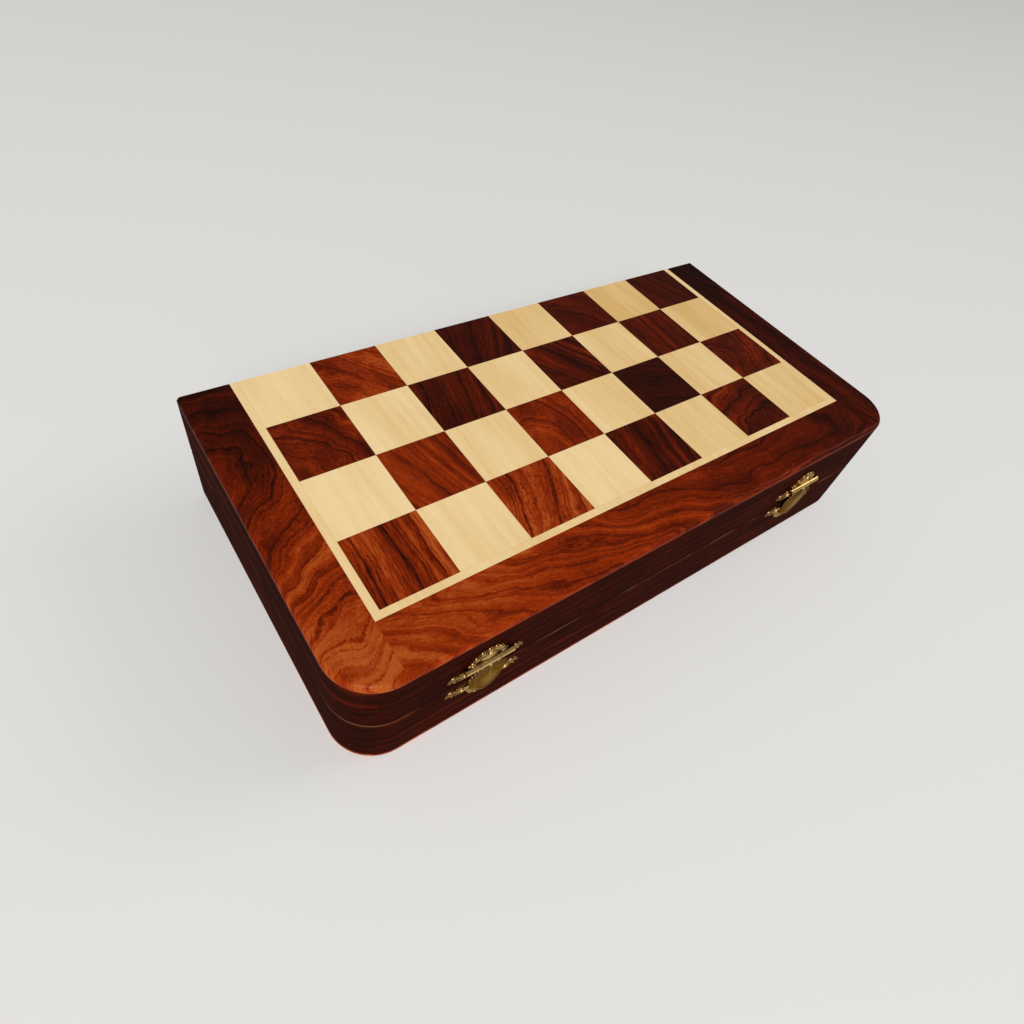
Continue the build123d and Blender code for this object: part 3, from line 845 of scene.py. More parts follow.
def cut_flat(mesh, place, direction):
    """Cut away all that lies beyond a plane and close the cut."""
    cut = bmesh.ops.bisect_plane(mesh, geom=[*mesh.verts, *mesh.edges, *mesh.faces], plane_co=place,
                                 plane_no=direction, clear_outer=True)
    edges = [item for item in cut["geom_cut"] if isinstance(item, bmesh.types.BMEdge)]
    bmesh.ops.holes_fill(mesh, edges=edges)


def turned(profile, steps):
    """A turned solid from a profile of (height, radius), about the Z axis."""
    mesh = bmesh.new()
    verts = [mesh.verts.new((radius, 0.0, height)) for height, radius in profile]
    edges = [mesh.edges.new(pair) for pair in zip(verts, verts[1:])]
    bmesh.ops.spin(mesh, geom=[*verts, *edges], cent=(0, 0, 0), axis=(0, 0, 1),
                   angle=math.tau, steps=steps, use_merge=True)
    bmesh.ops.remove_doubles(mesh, verts=mesh.verts, dist=0.0001)
    bmesh.ops.holes_fill(mesh, edges=mesh.edges)
    bmesh.ops.recalc_face_normals(mesh, faces=mesh.faces)
    return mesh


def arc(centre, radius, first, last, steps):
    """Stations of a round from one latitude in degrees to another."""
    angles = [math.radians(first + (last - first) * index / steps) for index in range(steps + 1)]
    return [(centre + radius * math.sin(a), radius * math.cos(a)) for a in angles]


def put(mesh, place):
    """Move a drawing in millimetres to its place, in metres."""
    mesh.transform(Matrix.Diagonal((MM, MM, MM, 1.0)) @ place)
    return mesh


def gather(meshes):
    """Several separate solids as one mesh."""
    whole = bmesh.new()
    for mesh in meshes:
        data = bpy.data.meshes.new("part")
        mesh.to_mesh(data)
        mesh.free()
        whole.from_mesh(data)
        bpy.data.meshes.remove(data)
    return whole


# Clasps are drawn as seen from the front: x across, y up from the seam, z out of the box
CLASP_AXIS = (12.3, 1.5)
CLASP_BARREL = 1.3
CLASP_BARREL_LENGTH = 20.6
HASP_KNUCKLE_LENGTH = 8.0
KNUCKLE_GAP = 0.2
BARREL_ROOM = 0.25
NAIL_SPACING = 19.2
STUD_RADIUS = 1.9
STUD_RISE = 1.15
STUD_DROP = 3.6
SEAM_EDGE = 0.65
CROWN_NAIL = 17.05
CAST_GRAIN = 0.17
HASP_GRAIN = 0.13
WING_NAILS = {"upper": 9.4, "lower": -2.5}


def front_place(x):
    """Turns the drawing of a clasp to the front of the box, at its place along the front."""
    return at(x, FRONT, SEAM) @ Matrix(((1, 0, 0), (0, 0, -1), (0, 1, 0))).to_4x4()


def clasp_x(side):
    low, high = node_box(f"{side}_clasp_plate")
    return (low.x + high.x) / 2


def knuckle(mesh, start, end):
    """A round barrel on the clasp's axis between two places across."""
    height, out = CLASP_AXIS
    place = at((start + end) / 2, height, out) @ turned_by(90, "Y")
    bmesh.ops.create_cone(mesh, cap_ends=True, segments=32, radius1=CLASP_BARREL,
                          radius2=CLASP_BARREL, depth=end - start, matrix=place)


# Half a wing, from the middle to its curling tip: (across, above the nails, radius)
WING_RIB = [
    (3.0, 1.6, 1.5), (6.0, 1.9, 1.45), (9.2, 1.5, 1.2), (11.1, -0.5, 0.95),
    (12.6, 0.5, 1.0), (13.9, 0.7, 1.0), (15.1, -0.1, 0.9), (15.8, -1.5, 0.7),
]
WING_LEAF = [(6.6, 0.2, 1.4), (9.0, -1.5, 1.2), (11.2, -2.4, 0.85), (12.9, -2.2, 0.6)]
WING_EYE = (13.7, -1.3, 0.85)
WING_BUDS = [(6.4, 2.9, 0.8), (8.6, 2.6, 0.75)]
NAIL_BOSS = 1.7
# Middle and reach of the shells: the crown of the plate and the fan of the keeper
CROWN = (12.2, 6.6)
FAN = (-4.9, 6.4)
CROWN_RIBS = 7
CROWN_START = 12


def wings(mesh, height):
    for side in (-1, 1):
        for stations in (WING_RIB, WING_LEAF):
            run = curved(stations)
            strand(mesh, [((side * x, height + y, 0.0), radius) for x, y, radius in run])
        for x, y, radius in (*WING_BUDS, WING_EYE):
            bead(mesh, (side * x, height + y, 0.25), radius)
        bead(mesh, (side * NAIL_SPACING / 2, height, 0.0), NAIL_BOSS, (1, 1, 0.6))


def shell_of_ribs(mesh, centre, reach, direction):
    """A scallop shell of ribs that end in pips, spread upwards or downwards."""
    bead(mesh, (0, centre, 0), reach + 0.3, (1, 1, 0.17))
    for index in range(CROWN_RIBS):
        angle = math.radians(CROWN_START + (180 - 2 * CROWN_START) * index / (CROWN_RIBS - 1))
        end = (reach * math.cos(angle), centre + direction * reach * math.sin(angle), 0.0)
        near = (end[0] * 0.3, centre + (end[1] - centre) * 0.3, 0.0)
        limb(mesh, near, 0.7, end, 1.15)
        bead(mesh, end, 1.35)


def fit_clasps(pattern, name, node, body, material):
    """Fit a piece of the clasps, drawn once, at both places on the front."""
    for side in SIDES:
        mesh = put(pattern.copy(), front_place(clasp_x(side)))
        finished(name.format(side), mesh, body.format(side), material, node.format(side),
                 sharp_angle=50, weighted=False)
    pattern.free()


class CHESS_OT_clasp_plates(bpy.types.Operator):
    """Make the scrolled upper plates with the outer knuckles of the hasps' hinges"""

    bl_idname = "chess.clasp_plates"
    bl_label = "Clasp plates"

    def execute(self, context):
        material = brass_material("plate_brass", tarnish=0.85, bright=1.6)
        fit_clasps(self.draw_plate(), "{}_clasp_scroll_plate", "{}_clasp_plate", "upper_half",
                   material)
        return {"FINISHED"}

    def draw_plate(self):
        mesh = bmesh.new()
        wings(mesh, WING_NAILS["upper"])
        shell_of_ribs(mesh, *CROWN, 1)
        bead(mesh, (0, CROWN[0], 0), 5.4, (1, 1, 0.3))
        limb(mesh, (-8.5, CLASP_AXIS[0], 0), 1.4, (8.5, CLASP_AXIS[0], 0), 1.4)
        mesh = cast(mesh, CAST_GRAIN, 4)
        cut_flat(mesh, (0, 0, 0), (0, 0, -1))
        inner = HASP_KNUCKLE_LENGTH / 2 + KNUCKLE_GAP
        self.make_room(mesh, inner)
        for sign in (-1, 1):
            knuckle(mesh, *sorted((sign * inner, sign * CLASP_BARREL_LENGTH / 2)))
        return mesh

    def make_room(self, mesh, inner):
        """Press a round trough into the plate behind the hasp's own knuckle."""
        height, out = CLASP_AXIS
        room = CLASP_BARREL + BARREL_ROOM
        for vert in mesh.verts:
            off = abs(vert.co.y - height)
            if abs(vert.co.x) < inner and off < room:
                vert.co.z = min(vert.co.z, max(0.1, out - math.sqrt(room ** 2 - off ** 2)))


class CHESS_OT_keepers(bpy.types.Operator):
    """Make the scrolled lower plates with the studs that the hasps snap over"""

    bl_idname = "chess.keepers"
    bl_label = "Keepers"

    def execute(self, context):
        material = brass_material("keeper_brass", tarnish=0.85, bright=1.6)
        fit_clasps(self.draw_keeper(), "{}_clasp_scroll_keeper", "{}_clasp_keeper", "lower_half",
                   material)
        return {"FINISHED"}

    def draw_keeper(self):
        mesh = bmesh.new()
        wings(mesh, WING_NAILS["lower"])
        shell_of_ribs(mesh, *FAN, -1)
        bead(mesh, (0, -STUD_DROP, 0), 5.6, (1, 1, 0.2))
        mesh = cast(mesh, CAST_GRAIN, 4)
        cut_flat(mesh, (0, 0, 0), (0, 0, -1))
        cut_flat(mesh, (0, -SEAM_EDGE, 0), (0, 1, 0))
        stud = turned([(0.4, STUD_RADIUS), (1.2, STUD_RADIUS), *arc(1.2, STUD_RISE, 15, 90, 5)], 24)
        stud.transform(at(0, -STUD_DROP, 0))
        return gather([mesh, stud])


# Half of the hasp's outline, from its neck down to its foot
SHIELD_OUTLINE = [
    (0.0, 11.9), (1.7, 11.6), (3.3, 10.4), (5.3, 8.9), (7.2, 7.2), (8.2, 5.2), (7.9, 2.6), (7.3, 0.0),
    (6.6, -2.6), (5.4, -5.2), (3.8, -7.4), (1.9, -9.0), (0.0, -9.8),
]
SHIELD_MIDDLE = 1.5
# Height above the seam below which the shield's brass is darkened with painted shade
SHIELD_SHADE_TOP = 10.6
SHIELD_BEADS = [(3.4, 10.5), (4.7, 9.5), (5.9, 8.5), (7.0, 7.3), (7.8, 5.8)]
# Rings of the dished shield, from the middle of its face round the rim to the middle of its back:
# (share of the outline, out)
SHIELD_RINGS = [
    (0.06, 3.3), (0.2, 3.26), (0.42, 3.14), (0.6, 2.92), (0.68, 2.84), (0.71, 3.04), (0.75, 3.1),
    (0.79, 2.98), (0.82, 2.64), (0.88, 2.4), (0.93, 2.12),
    (0.95, 2.02), (0.985, 2.0), (1.0, 1.85), (1.0, 1.55), (0.95, 1.5), (0.88, 2.0), (0.7, 2.5),
    (0.42, 2.8), (0.06, 2.9),
]


class CHESS_OT_hasps(bpy.types.Operator):
    """Make the dished shields that hang on the pins"""

    bl_idname = "chess.hasps"
    bl_label = "Hasps"

    def execute(self, context):
        material = brass_material("hasp_brass", tarnish=0.9, bright=4.0, shaded_below=SEAM + SHIELD_SHADE_TOP)
        pattern = gather([self.shield(), self.ornament()])
        fit_clasps(pattern, "{}_hasp_shield", "{}_hasp", "{}_hasp_flap", material)
        return {"FINISHED"}

    def shield(self):
        """A dished shield: rings of its outline, joined over the face and round the inside."""
        right = curved(SHIELD_OUTLINE, 3)
        outline = right + [(-x, y) for x, y in reversed(right[1:-1])]
        mesh = bmesh.new()
        rings = [
            [mesh.verts.new((x * share, SHIELD_MIDDLE + (y - SHIELD_MIDDLE) * share, out))
             for x, y in outline]
            for share, out in SHIELD_RINGS
        ]
        for near, far in zip(rings, rings[1:]):
            for index in range(-1, len(near) - 1):
                mesh.faces.new((near[index], near[index + 1], far[index + 1], far[index]))
        mesh.faces.new(rings[0])
        mesh.faces.new(rings[-1])
        bmesh.ops.recalc_face_normals(mesh, faces=mesh.faces)
        return mesh

    def ornament(self):
        """Beads along the shoulders, the ridge, the drop over the barrel and the knuckle."""
        mesh = bmesh.new()
        for x, y in SHIELD_BEADS:
            for sign in (-1, 1):
                bead(mesh, (sign * x, y, 2.0), 0.85)
        strand(mesh, [((0, 3.2, 3.05), 0.32), ((0, 5.8, 2.98), 0.42), ((0, 8.0, 2.75), 0.55)])
        strand(mesh, [((0, 9.3, 2.4), 0.95), ((0, 10.8, 2.25), 0.85), ((0, 12.3, 2.3), 0.55)])
        mesh = cast(mesh, HASP_GRAIN, 3)
        barrel = bmesh.new()
        knuckle(barrel, -HASP_KNUCKLE_LENGTH / 2, HASP_KNUCKLE_LENGTH / 2)
        return gather([mesh, barrel])


# Profiles of (height, radius), the head at the top
NAIL_PROFILE = [
    (-7.2, 0.05), (-6.2, 0.5), (0.9, 0.5), (0.95, 1.0), (1.25, 0.98), (1.5, 0.8), (1.68, 0.5),
    (1.75, 0.0),
]
SCREW_PROFILE = [(-7.0, 0.05), (-6.0, 0.9), (-1.0, 0.9), (-0.12, 1.8), (0.0, 1.75)]
SCREW_SLOT = (5.0, 0.45, 0.9)
SCREW_OFFSET = 7.5


class CHESS_OT_small_fasteners(bpy.types.Operator):
    """Make the clasp pins, the round-headed nails and the slotted hinge screws"""

    bl_idname = "chess.small_fasteners"
    bl_label = "Pins, nails and screws"

    def execute(self, context):
        pin = brass_material("pin_brass", tarnish=0.4)
        for side in SIDES:
            paint(f"{side}_hasp_pin", pin)
            paint(f"{side}_hinge_pin", pin)
        material = brass_material("fastener_brass", tarnish=0.6)
        for half, height in WING_NAILS.items():
            places = [(-NAIL_SPACING / 2, height), (NAIL_SPACING / 2, height)]
            if half == "upper":
                places.append((0, CROWN_NAIL))
            nails = [put(turned(NAIL_PROFILE, 20), front_place(clasp_x(side)) @ at(x, y, 0))
                     for side in SIDES for x, y in places]
            finished(f"clasp_round_nails_{half}", gather(nails), f"{half}_half",
                     material, f"clasp_nails_{half}", sharp_angle=40, weighted=False)
        for half in HALVES:
            finished(f"hinge_slotted_screws_{half}", gather(self.screws(half)), f"{half}_half",
                     material, f"hinge_screws_{half}", sharp_angle=30, weighted=False)
        return {"FINISHED"}

    def screws(self, half):
        """Slotted screws through the hinge leaves, heads flush in their countersinks."""
        low, high = node_box(f"hinge_screws_{half}")
        up, face = (1, high.z) if half == "lower" else (-1, low.z)
        for hinge in SIDES:
            leaf_low, leaf_high = node_box(f"{hinge}_hinge_lower_leaf")
            middle_x = (leaf_low.x + leaf_high.x) / 2
            for offset in (-SCREW_OFFSET, SCREW_OFFSET):
                turn = Matrix.Rotation(0.5 * offset + middle_x, 4, "Z")
                screw = carved(turned(SCREW_PROFILE, 24), block(SCREW_SLOT, turn))
                place = at(middle_x + offset, (low.y + high.y) / 2, face)
                yield put(screw, place @ Matrix.Diagonal((1, up, up, 1)))


class CHESS_OT_hinges(bpy.types.Operator):
    """Make the butt hinges' leaves with eased edges"""

    bl_idname = "chess.hinges"
    bl_label = "Hinges"

    def execute(self, context):
        material = brass_material("hinge_brass", tarnish=0.8)
        for side in SIDES:
            for half in HALVES:
                node = f"{side}_hinge_{half}_leaf"
                mesh = merged_copy(node)
                ease(mesh, edges_over(mesh, 60), LEAF_EASE, 2)
                finished(f"{side}_hinge_{half}_brass_leaf", mesh, f"{half}_half",
                         material, node)
        return {"FINISHED"}


def felt_material(name):
    """Short flocking, brushed unevenly."""
    felt = bpy.context.scene.chess_insert.felt
    dark = [channel * 0.45 for channel in felt]
    pale = [min(1.0, channel * 1.7) for channel in felt]

    def look(place):
        pile = noise(place, 3.2, 3.0, 0.7)
        level = pile * 0.5 + noise(place, 0.05, 3.0, 0.6) * 0.7
        return {
            "Base Color": ramp(level, [(0.35, dark), (0.6, felt), (0.9, pale)]),
            "Roughness": 1.0, "Specular IOR Level": 0.05,
            "Sheen Weight": 0.25, "Sheen Roughness": 0.5, "Sheen Tint": (0.35, 0.75, 0.5),
            "Normal": relief(pile, 0.35, 0.0003),
        }
    return finish(name, look)


class CHESS_OT_inserts(bpy.types.Operator):
    """Make the flocked inserts with soft-edged pockets"""

    bl_idname = "chess.inserts"
    bl_label = "Inserts"

    def execute(self, context):
        material = felt_material("insert_felt")
        for half in HALVES:
            node = f"{half}_insert"
            mesh = merged_copy(node)
            low, high = node_box(node)
            face = (high.z if half == "lower" else low.z) * MM
            rims = [edge for edge in edges_over(mesh, 60)
                    if all(abs(vert.co.z - face) < 0.01 * MM for vert in edge.verts)]
            ease(mesh, rims, POCKET_EASE)
            finished(f"{node}_flocked", mesh, f"{half}_half", material, node)
        return {"FINISHED"}


class CHESS_OT_cores(bpy.types.Operator):
    """Finish the thin panels that carry the squares"""

    bl_idname = "chess.cores"
    bl_label = "Core panels"

    def execute(self, context):
        material = boxwood_material("core_boxwood", turn=(0, 0, 90), tone=0.6, coat=0.0)
        for half in HALVES:
            paint(f"{half}_core", material)
        return {"FINISHED"}


# Chessmen: stations in shares of height and base radius, with a bulge for the round that leads
# to the next station: above 0 it swells out, below 0 it is hollow, 0 is straight.
FOOT = [
    (0.000, 0.0, 0), (0.000, 0.93, 0.5), (0.012, 0.985, 0.3), (0.055, 0.985, 0.6), (0.080, 0.90, 0),
    (0.092, 0.86, 0.9), (0.120, 0.82, 0), (0.128, 0.78, 0.35),
]
FOOT_RIM = 0.08
ROUND_STEPS = 7


def moulding(height, base, stations):
    """A turner's profile: the foot that all men share, then a man's own stations."""
    profile = []
    stations = [*FOOT, *stations]
    for (z0, r0, bulge), (z1, r1, _) in zip(stations, stations[1:]):
        start = Vector((z0 * height, r0 * base))
        end = Vector((z1 * height, r1 * base))
        profile.append(tuple(start))
        if bulge == 0:
            continue
        run = end - start
        out = Vector((-run.y, run.x))
        for index in range(1, ROUND_STEPS):
            share = index / ROUND_STEPS
            swell = 4 * share * (1 - share) * bulge / 2
            profile.append(tuple(start + run * share + out * swell))
    profile.append((stations[-1][0] * height, stations[-1][1] * base))
    return profile


PAWN_HEAD = 0.155


def pawn(man):
    radius = PAWN_HEAD * man.height
    neck = [
        (0.19, 0.60, -0.22), (0.555, 0.27, 0), (0.565, 0.36, 0.5), (0.592, 0.37, 0), (0.598, 0.50, 0.9),
        (0.632, 0.50, 0), (0.642, 0.36, 0.4), (0.668, 0.30, 0),
    ]
    profile = moulding(man.height, man.base, neck)
    return turned(profile + arc(man.height - radius, radius, -55, 90, 14), 36)


NOTCH_WIDTH = 1.9
NOTCH_DEPTH = 2.8


def rook(man):
    tower = [
        (0.19, 0.62, -0.14), (0.60, 0.42, 0), (0.61, 0.50, 0.8), (0.64, 0.50, 0), (0.65, 0.46, -0.3),
        (0.72, 0.62, 0), (0.72, 0.655, 0.1), (0.985, 0.655, 0.4), (1.0, 0.63, 0), (1.0, 0.46, 0),
        (0.88, 0.44, 0), (0.87, 0.0, 0),
    ]
    mesh = turned(moulding(man.height, man.base, tower), 48)
    for turn in range(3):
        place = at(0, 0, man.height) @ turned_by(60 * turn, "Z")
        mesh = carved(mesh, block((3 * man.base, NOTCH_WIDTH, 2 * NOTCH_DEPTH), place))
    return mesh


SLIT_SIZE = (11.0, 14.0, 1.0)
SLIT_TURN = -52


def bishop(man):
    height = man.height
    tip = 0.035 * height
    body = [
        (0.19, 0.60, -0.2), (0.545, 0.26, 0), (0.552, 0.34, 0.5), (0.572, 0.34, 0), (0.578, 0.54, 0.9),
        (0.603, 0.54, 0), (0.610, 0.38, 0.6), (0.632, 0.38, 0), (0.640, 0.30, 0.08), (0.70, 0.46, 0.16),
        (0.79, 0.46, 0.16), (0.90, 0.20, 0.05), (0.925, 0.12, 0),
    ]
    profile = moulding(height, man.base, body)
    mesh = turned(profile + arc(height - tip, tip, -50, 90, 8), 40)
    return carved(mesh, block(SLIT_SIZE, at(5.4, 0, 0.845 * height) @ turned_by(SLIT_TURN, "Y")))


CROWN_SCALLOPS = 9
SCALLOP_RADIUS = 1.15


def queen(man):
    height = man.height
    tip = 0.035 * height
    body = [
        (0.19, 0.60, -0.2), (0.585, 0.26, 0), (0.592, 0.36, 0.5), (0.610, 0.36, 0), (0.616, 0.57, 0.9),
        (0.640, 0.57, 0), (0.646, 0.42, 0.6), (0.668, 0.42, 0), (0.676, 0.33, -0.14), (0.86, 0.575, 0),
        (0.868, 0.55, 0), (0.862, 0.44, 0.2), (0.90, 0.30, 0.1), (0.928, 0.12, 0),
    ]
    profile = moulding(height, man.base, body)
    mesh = turned(profile + arc(height - tip, tip, -50, 90, 8), 48)
    for index in range(CROWN_SCALLOPS):
        notch = bmesh.new()
        bmesh.ops.create_uvsphere(notch, u_segments=12, v_segments=8, radius=SCALLOP_RADIUS)
        turn = turned_by(360 / CROWN_SCALLOPS * index, "Z")
        notch.transform(turn @ at(0.60 * man.base, 0, 0.868 * height))
        mesh = carved(mesh, notch)
    return mesh


CROSS_POST = (2.4, 1.6, 6.8)
CROSS_ARMS = (5.2, 1.6, 1.6)
ARMS_DROP = 2.8
CROSS_EASE = 0.2


def king(man):
    height = man.height
    body = [
        (0.19, 0.60, -0.2), (0.575, 0.27, 0), (0.582, 0.37, 0.5), (0.600, 0.37, 0), (0.606, 0.59, 0.9),
        (0.630, 0.59, 0), (0.636, 0.44, 0.6), (0.656, 0.44, 0), (0.664, 0.35, -0.10), (0.86, 0.575, 0),
        (0.872, 0.52, 0.3), (0.885, 0.28, 0), (0.893, 0.10, 0), (0.90, 0.10, 0), (0.90, 0.0, 0),
    ]
    mesh = turned(moulding(height, man.base, body), 48)
    post = block(CROSS_POST, at(0, 0, height - CROSS_POST[2] / 2))
    arms = block(CROSS_ARMS, at(0, 0, height - ARMS_DROP))
    for solid in (post, arms):
        ease(solid, list(solid.edges), CROSS_EASE, 2)
    return gather([mesh, post, arms])


# The knight's head seen from the side, its nose to +X: (forward, up, radius)
KNIGHT_NECK = [
    (-1.6, 14.0, 5.4), (-2.6, 19.5, 5.0), (-2.8, 25.0, 4.5), (-1.9, 30.5, 4.0), (-0.4, 35.5, 3.6),
]
KNIGHT_CHEST = [(1.6, 14.2, 4.6), (1.9, 18.5, 3.6), (0.6, 24.0, 3.2)]
KNIGHT_FACE = [(0.0, 37.0, 3.9), (2.4, 34.6, 3.3), (4.6, 32.2, 2.5), (6.2, 30.6, 2.1)]
KNIGHT_CHEEK = (0.6, 33.6, 3.3)
KNIGHT_MANE = 9
KNIGHT_GRAIN = 0.32
KNIGHT_BOTTOM = 13.2
MOUTH_SIZE = (4.6, 9.0, 0.5)
MOUTH_TURN = 38


def knight(man):
    drum = [(0.19, 0.74, 0.1), (0.245, 0.76, 0.7), (0.285, 0.72, 0), (0.30, 0.64, 0), (0.30, 0.0, 0)]
    pedestal = turned(moulding(man.height, man.base, drum), 40)
    head = bmesh.new()
    for stations in (KNIGHT_NECK, KNIGHT_CHEST, KNIGHT_FACE):
        strand(head, [((x, 0.0, z), radius) for x, z, radius in stations])
    bead(head, (KNIGHT_CHEEK[0], 0, KNIGHT_CHEEK[1]), KNIGHT_CHEEK[2])
    bmesh.ops.scale(head, vec=(1.0, 0.72, 1.0), verts=head.verts)
    for index in range(KNIGHT_MANE):
        share = index / (KNIGHT_MANE - 1)
        place = (-6.6 + 4.6 * share ** 1.6, 0, 15.0 + 23.5 * share)
        bead(head, place, 1.75 - 0.4 * share, (1.25, 1.0, 0.8))
    for side in (-1, 1):
        limb(head, (-0.6, side * 1.7, 39.2), 1.35, (-0.2, side * 2.0, 43.6), 0.35)
        bead(head, (2.2, side * 2.35, 35.6), 0.75)
        bead(head, (6.9, side * 1.2, 31.2), 0.55)
        bead(head, (3.6, side * 1.9, 36.3), 0.9, (1.3, 0.5, 0.6))
    head = cast(head, KNIGHT_GRAIN, 3)
    head = carved(head, block(MOUTH_SIZE, at(7.0, 0, 29.7) @ turned_by(MOUTH_TURN, "Y")))
    cut_flat(head, (0, 0, KNIGHT_BOTTOM), (0, 0, -1))
    return gather([pedestal, head])


class Man:
    """A kind of man: how it is made, its sizes, and the columns of the board where it lies."""

    def __init__(self, make, height, base, head_radius, head_station, places, facing=1):
        self.make = make
        self.height = height
        self.base = base
        self.places = places
        self.facing = facing
        self.rim = FOOT_RIM * height
        self.tilt = math.atan2(base - head_radius, head_station - self.rim)


# Height, radius of the foot, radius and height of what rests on the floor at the head's end, columns
MEN = {
    "pawns": Man(pawn, 34.0, 9.4, PAWN_HEAD * 34.0 * 1.02, 34.0 - PAWN_HEAD * 34.0, range(COLUMNS), -1),
    "rooks": Man(rook, 39.0, 10.2, 0.66 * 10.2, 39.0, (0, 7)),
    "knights": Man(knight, 45.0, 10.4, 4.5, 45.0, (1, 6)),
    "bishops": Man(bishop, 50.0, 10.4, 0.48 * 10.4, 0.79 * 50.0, (2, 5)),
    "queen": Man(queen, 57.0, 10.8, 0.58 * 10.8, 0.86 * 57.0, (3,)),
    "king": Man(king, 62.0, 11.0, 0.58 * 11.0, 0.86 * 62.0, (4,)),
}
MAN_PITCH = 34.0
POCKET_FLOOR = 6.8
POCKET_CLEARANCE = 0.3
FOOT_LINE = 62.175


def lying_place(man, place, half):
    """Where a man lies in its pocket: foot at the outer line, head towards the finger channel."""
    rise = man.base * math.cos(man.tilt) + man.rim * math.sin(man.tilt)
    start = -FOOT_LINE + POCKET_CLEARANCE + man.base * math.sin(man.tilt)
    height = POCKET_FLOOR + POCKET_CLEARANCE + rise
    lying = at(0, start, height) @ Matrix.Rotation(-math.pi / 2 - man.tilt, 4, "X")
    if man.facing < 0:
        lying = turned_by(180, "Z") @ lying
    lying = at((place - (COLUMNS - 1) / 2) * MAN_PITCH, 0, 0) @ lying
    if half == "upper":
        lying = at(0, 0, 2 * SEAM) @ Matrix.Diagonal((1, 1, -1, 1)) @ lying
    return lying


MEN_ROUGHNESS = 0.22


def men_material(colour):
    """Boxwood for the white men and rosewood for the black."""
    name = f"{colour}_men_wood"
    if colour == "white":
        return boxwood_material(name, tone=0.3, roughness=MEN_ROUGHNESS)
    box = (Vector((-MAN_PITCH, -MAN_PITCH, 0)), Vector((MAN_PITCH, MAN_PITCH, 0)))
    return rosewood_material(name, box, (0, 12, 0), (70, 0, 30), (0.3, 0.3), contrast=0.8,
                             roughness=MEN_ROUGHNESS, coat=0.4)


def lay_men(kind):
    """Make one kind of man for both players and lay each in its pocket."""
    man = MEN[kind]
    pattern = man.make(man)
    for colour, half in (("white", "lower"), ("black", "upper")):
        laid = [put(pattern.copy(), lying_place(man, place, half)) for place in man.places]
        for mesh in laid:
            bmesh.ops.recalc_face_normals(mesh, faces=mesh.faces)
        material = bpy.data.materials.get(f"{colour}_men_wood") or men_material(colour)
        finished(f"{colour}_{kind}_turned", gather(laid), f"{half}_half", material,
                 f"{colour}_{kind}", sharp_angle=40, weighted=False)
    pattern.free()
    return {"FINISHED"}


class CHESS_OT_pawns(bpy.types.Operator):
    """Turn the sixteen pawns"""

    bl_idname = "chess.pawns"
    bl_label = "Pawns"

    def execute(self, context):
        return lay_men("pawns")


class CHESS_OT_rooks(bpy.types.Operator):
    """Turn the four rooks and cut their battlements"""

    bl_idname = "chess.rooks"
    bl_label = "Rooks"

    def execute(self, context):
        return lay_men("rooks")


class CHESS_OT_knights(bpy.types.Operator):
    """Turn the knights' feet and carve their heads"""

    bl_idname = "chess.knights"
    bl_label = "Knights"

    def execute(self, context):
        return lay_men("knights")


class CHESS_OT_bishops(bpy.types.Operator):
    """Turn the four bishops and slit their mitres"""

    bl_idname = "chess.bishops"
    bl_label = "Bishops"

    def execute(self, context):
        return lay_men("bishops")


class CHESS_OT_queens(bpy.types.Operator):
    """Turn the two queens and scallop their crowns"""

    bl_idname = "chess.queens"
    bl_label = "Queens"

    def execute(self, context):
        return lay_men("queen")


class CHESS_OT_kings(bpy.types.Operator):
    """Turn the two kings and set their crosses"""

    bl_idname = "chess.kings"
    bl_label = "Kings"

    def execute(self, context):
        return lay_men("king")


# The studio, in metres and degrees
CAMERA_PLACE = (-0.18143, -0.15037, 0.25226)
CAMERA_TURN = (39.607, -9.289, -34.906)
KEY_PLACE = (-2.25, -2.55, 3.45)
KEY_SIZE = 2.7
FILL_PLACE = (3.9, -0.9, 2.7)
FILL_SIZE = 2.4
FLOOR_REACH = 20.0
ROOM_COLOUR = (1.0, 0.99, 0.97, 1.0)


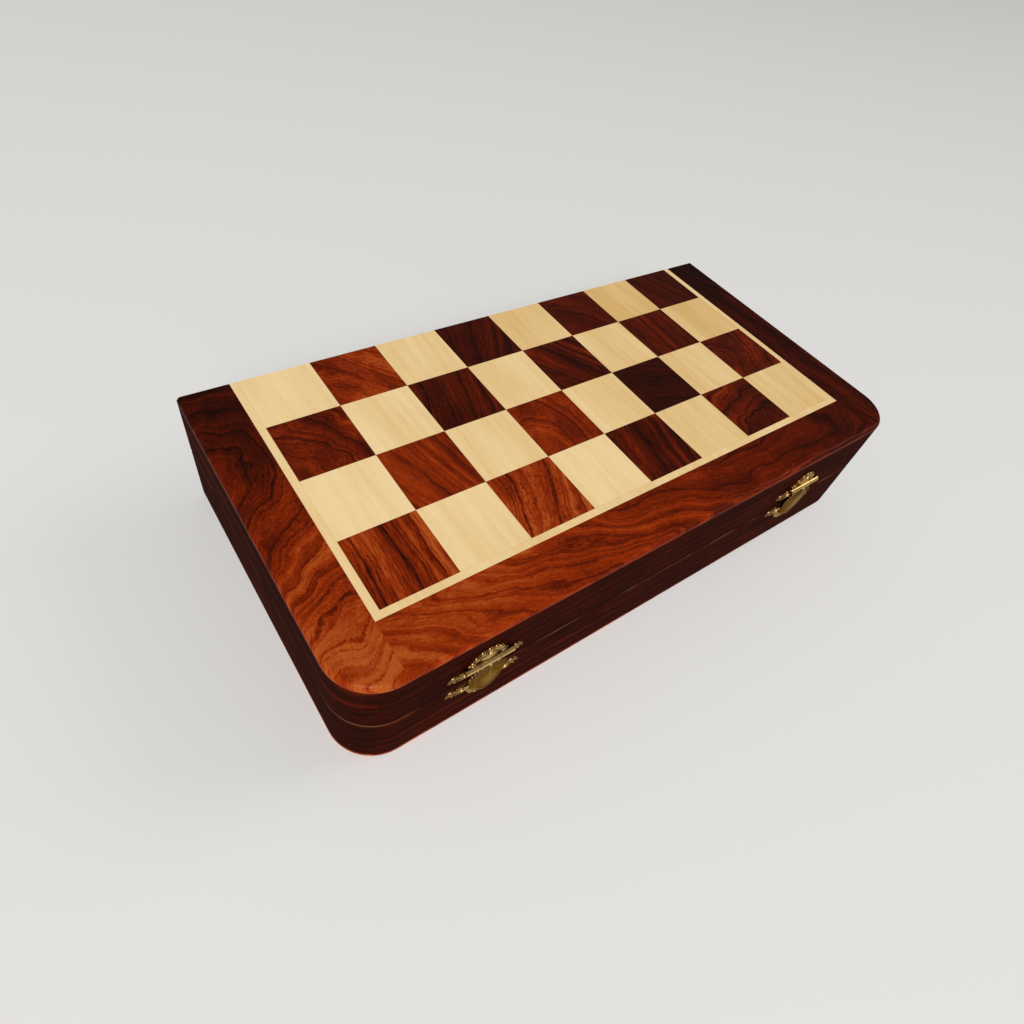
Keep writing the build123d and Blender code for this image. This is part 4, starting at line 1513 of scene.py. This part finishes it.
class CHESS_OT_stage(bpy.types.Operator):
    """Set the floor, the lamps and the camera"""

    bl_idname = "chess.stage"
    bl_label = "Studio"

    def execute(self, context):
        studio = context.scene.chess_studio
        self.lay_floor(studio)
        self.fill_room(context, studio)
        self.hang_lamp(context, "key_lamp", KEY_PLACE, KEY_SIZE, studio.key_strength)
        self.hang_lamp(context, "fill_lamp", FILL_PLACE, FILL_SIZE, studio.fill_strength)
        self.set_camera(context, studio)
        context.scene.view_settings.view_transform = "Standard"
        return {"FINISHED"}

    def lay_floor(self, studio):
        mesh = bmesh.new()
        bmesh.ops.create_grid(mesh, x_segments=1, y_segments=1, size=FLOOR_REACH)
        look = {"Base Color": studio.floor, "Roughness": 0.9, "Specular IOR Level": 0.1}
        new_object("floor", mesh, finish("floor_paper", lambda place: look))

    def fill_room(self, context, studio):
        world = bpy.data.worlds.new("studio_room")
        world.use_nodes = True
        background = world.node_tree.nodes["Background"]
        background.inputs["Color"].default_value = ROOM_COLOUR
        background.inputs["Strength"].default_value = studio.sky_strength
        context.scene.world = world

    def hang_lamp(self, context, name, place, size, strength):
        """A square soft lamp aimed at the box, its strength the radiance of its face."""
        light = bpy.data.lights.new(name, "AREA")
        light.size = size
        light.energy = strength * size * size
        lamp = bpy.data.objects.new(name, light)
        lamp.location = place
        lamp.rotation_euler = (-Vector(place)).to_track_quat("-Z", "Y").to_euler()
        context.scene.collection.objects.link(lamp)

    def set_camera(self, context, studio):
        """The photograph's viewpoint, found from the grid of squares."""
        data = bpy.data.cameras.new("camera")
        data.sensor_width = 36.0
        data.lens = studio.lens
        data.clip_start = 0.01
        camera = bpy.data.objects.new("camera", data)
        camera.location = CAMERA_PLACE
        camera.rotation_euler = [math.radians(angle) for angle in CAMERA_TURN]
        context.scene.collection.objects.link(camera)
        context.scene.camera = camera


class CHESS_PT_panel(bpy.types.Panel):
    """Lists the steps that dress the chess set"""

    bl_idname = "CHESS_PT_panel"
    bl_label = "Chess Set"
    bl_space_type = "VIEW_3D"
    bl_region_type = "UI"
    bl_category = "Chess Set"

    def draw(self, context):
        for name in ("chess_wood", "chess_brass", "chess_insert", "chess_studio"):
            settings = getattr(context.scene, name)
            for key in settings.__annotations__:
                self.layout.prop(settings, key)
        for operator in OPERATORS:
            self.layout.operator(operator.bl_idname)


SETTINGS = {
    "chess_wood": ChessWoodSettings,
    "chess_brass": ChessBrassSettings,
    "chess_insert": ChessInsertSettings,
    "chess_studio": ChessStudioSettings,
}
OPERATORS = (
    CHESS_OT_stage,
    CHESS_OT_squares,
    CHESS_OT_strips,
    CHESS_OT_borders,
    CHESS_OT_rails,
    CHESS_OT_cores,
    CHESS_OT_hinges,
    CHESS_OT_clasp_plates,
    CHESS_OT_keepers,
    CHESS_OT_hasps,
    CHESS_OT_small_fasteners,
    CHESS_OT_inserts,
    CHESS_OT_pawns,
    CHESS_OT_rooks,
    CHESS_OT_knights,
    CHESS_OT_bishops,
    CHESS_OT_queens,
    CHESS_OT_kings,
)


def register():
    for name, group in SETTINGS.items():
        bpy.utils.register_class(group)
        setattr(bpy.types.Scene, name, bpy.props.PointerProperty(type=group))
    for operator in OPERATORS:
        bpy.utils.register_class(operator)
    bpy.utils.register_class(CHESS_PT_panel)


def unregister():
    bpy.utils.unregister_class(CHESS_PT_panel)
    for operator in reversed(OPERATORS):
        bpy.utils.unregister_class(operator)
    for name, group in reversed(SETTINGS.items()):
        delattr(bpy.types.Scene, name)
        bpy.utils.unregister_class(group)


def main():
    register()
    for operator in OPERATORS:
        category, name = operator.bl_idname.split(".")
        getattr(getattr(bpy.ops, category), name)()


if __name__ == "__main__":
    main()
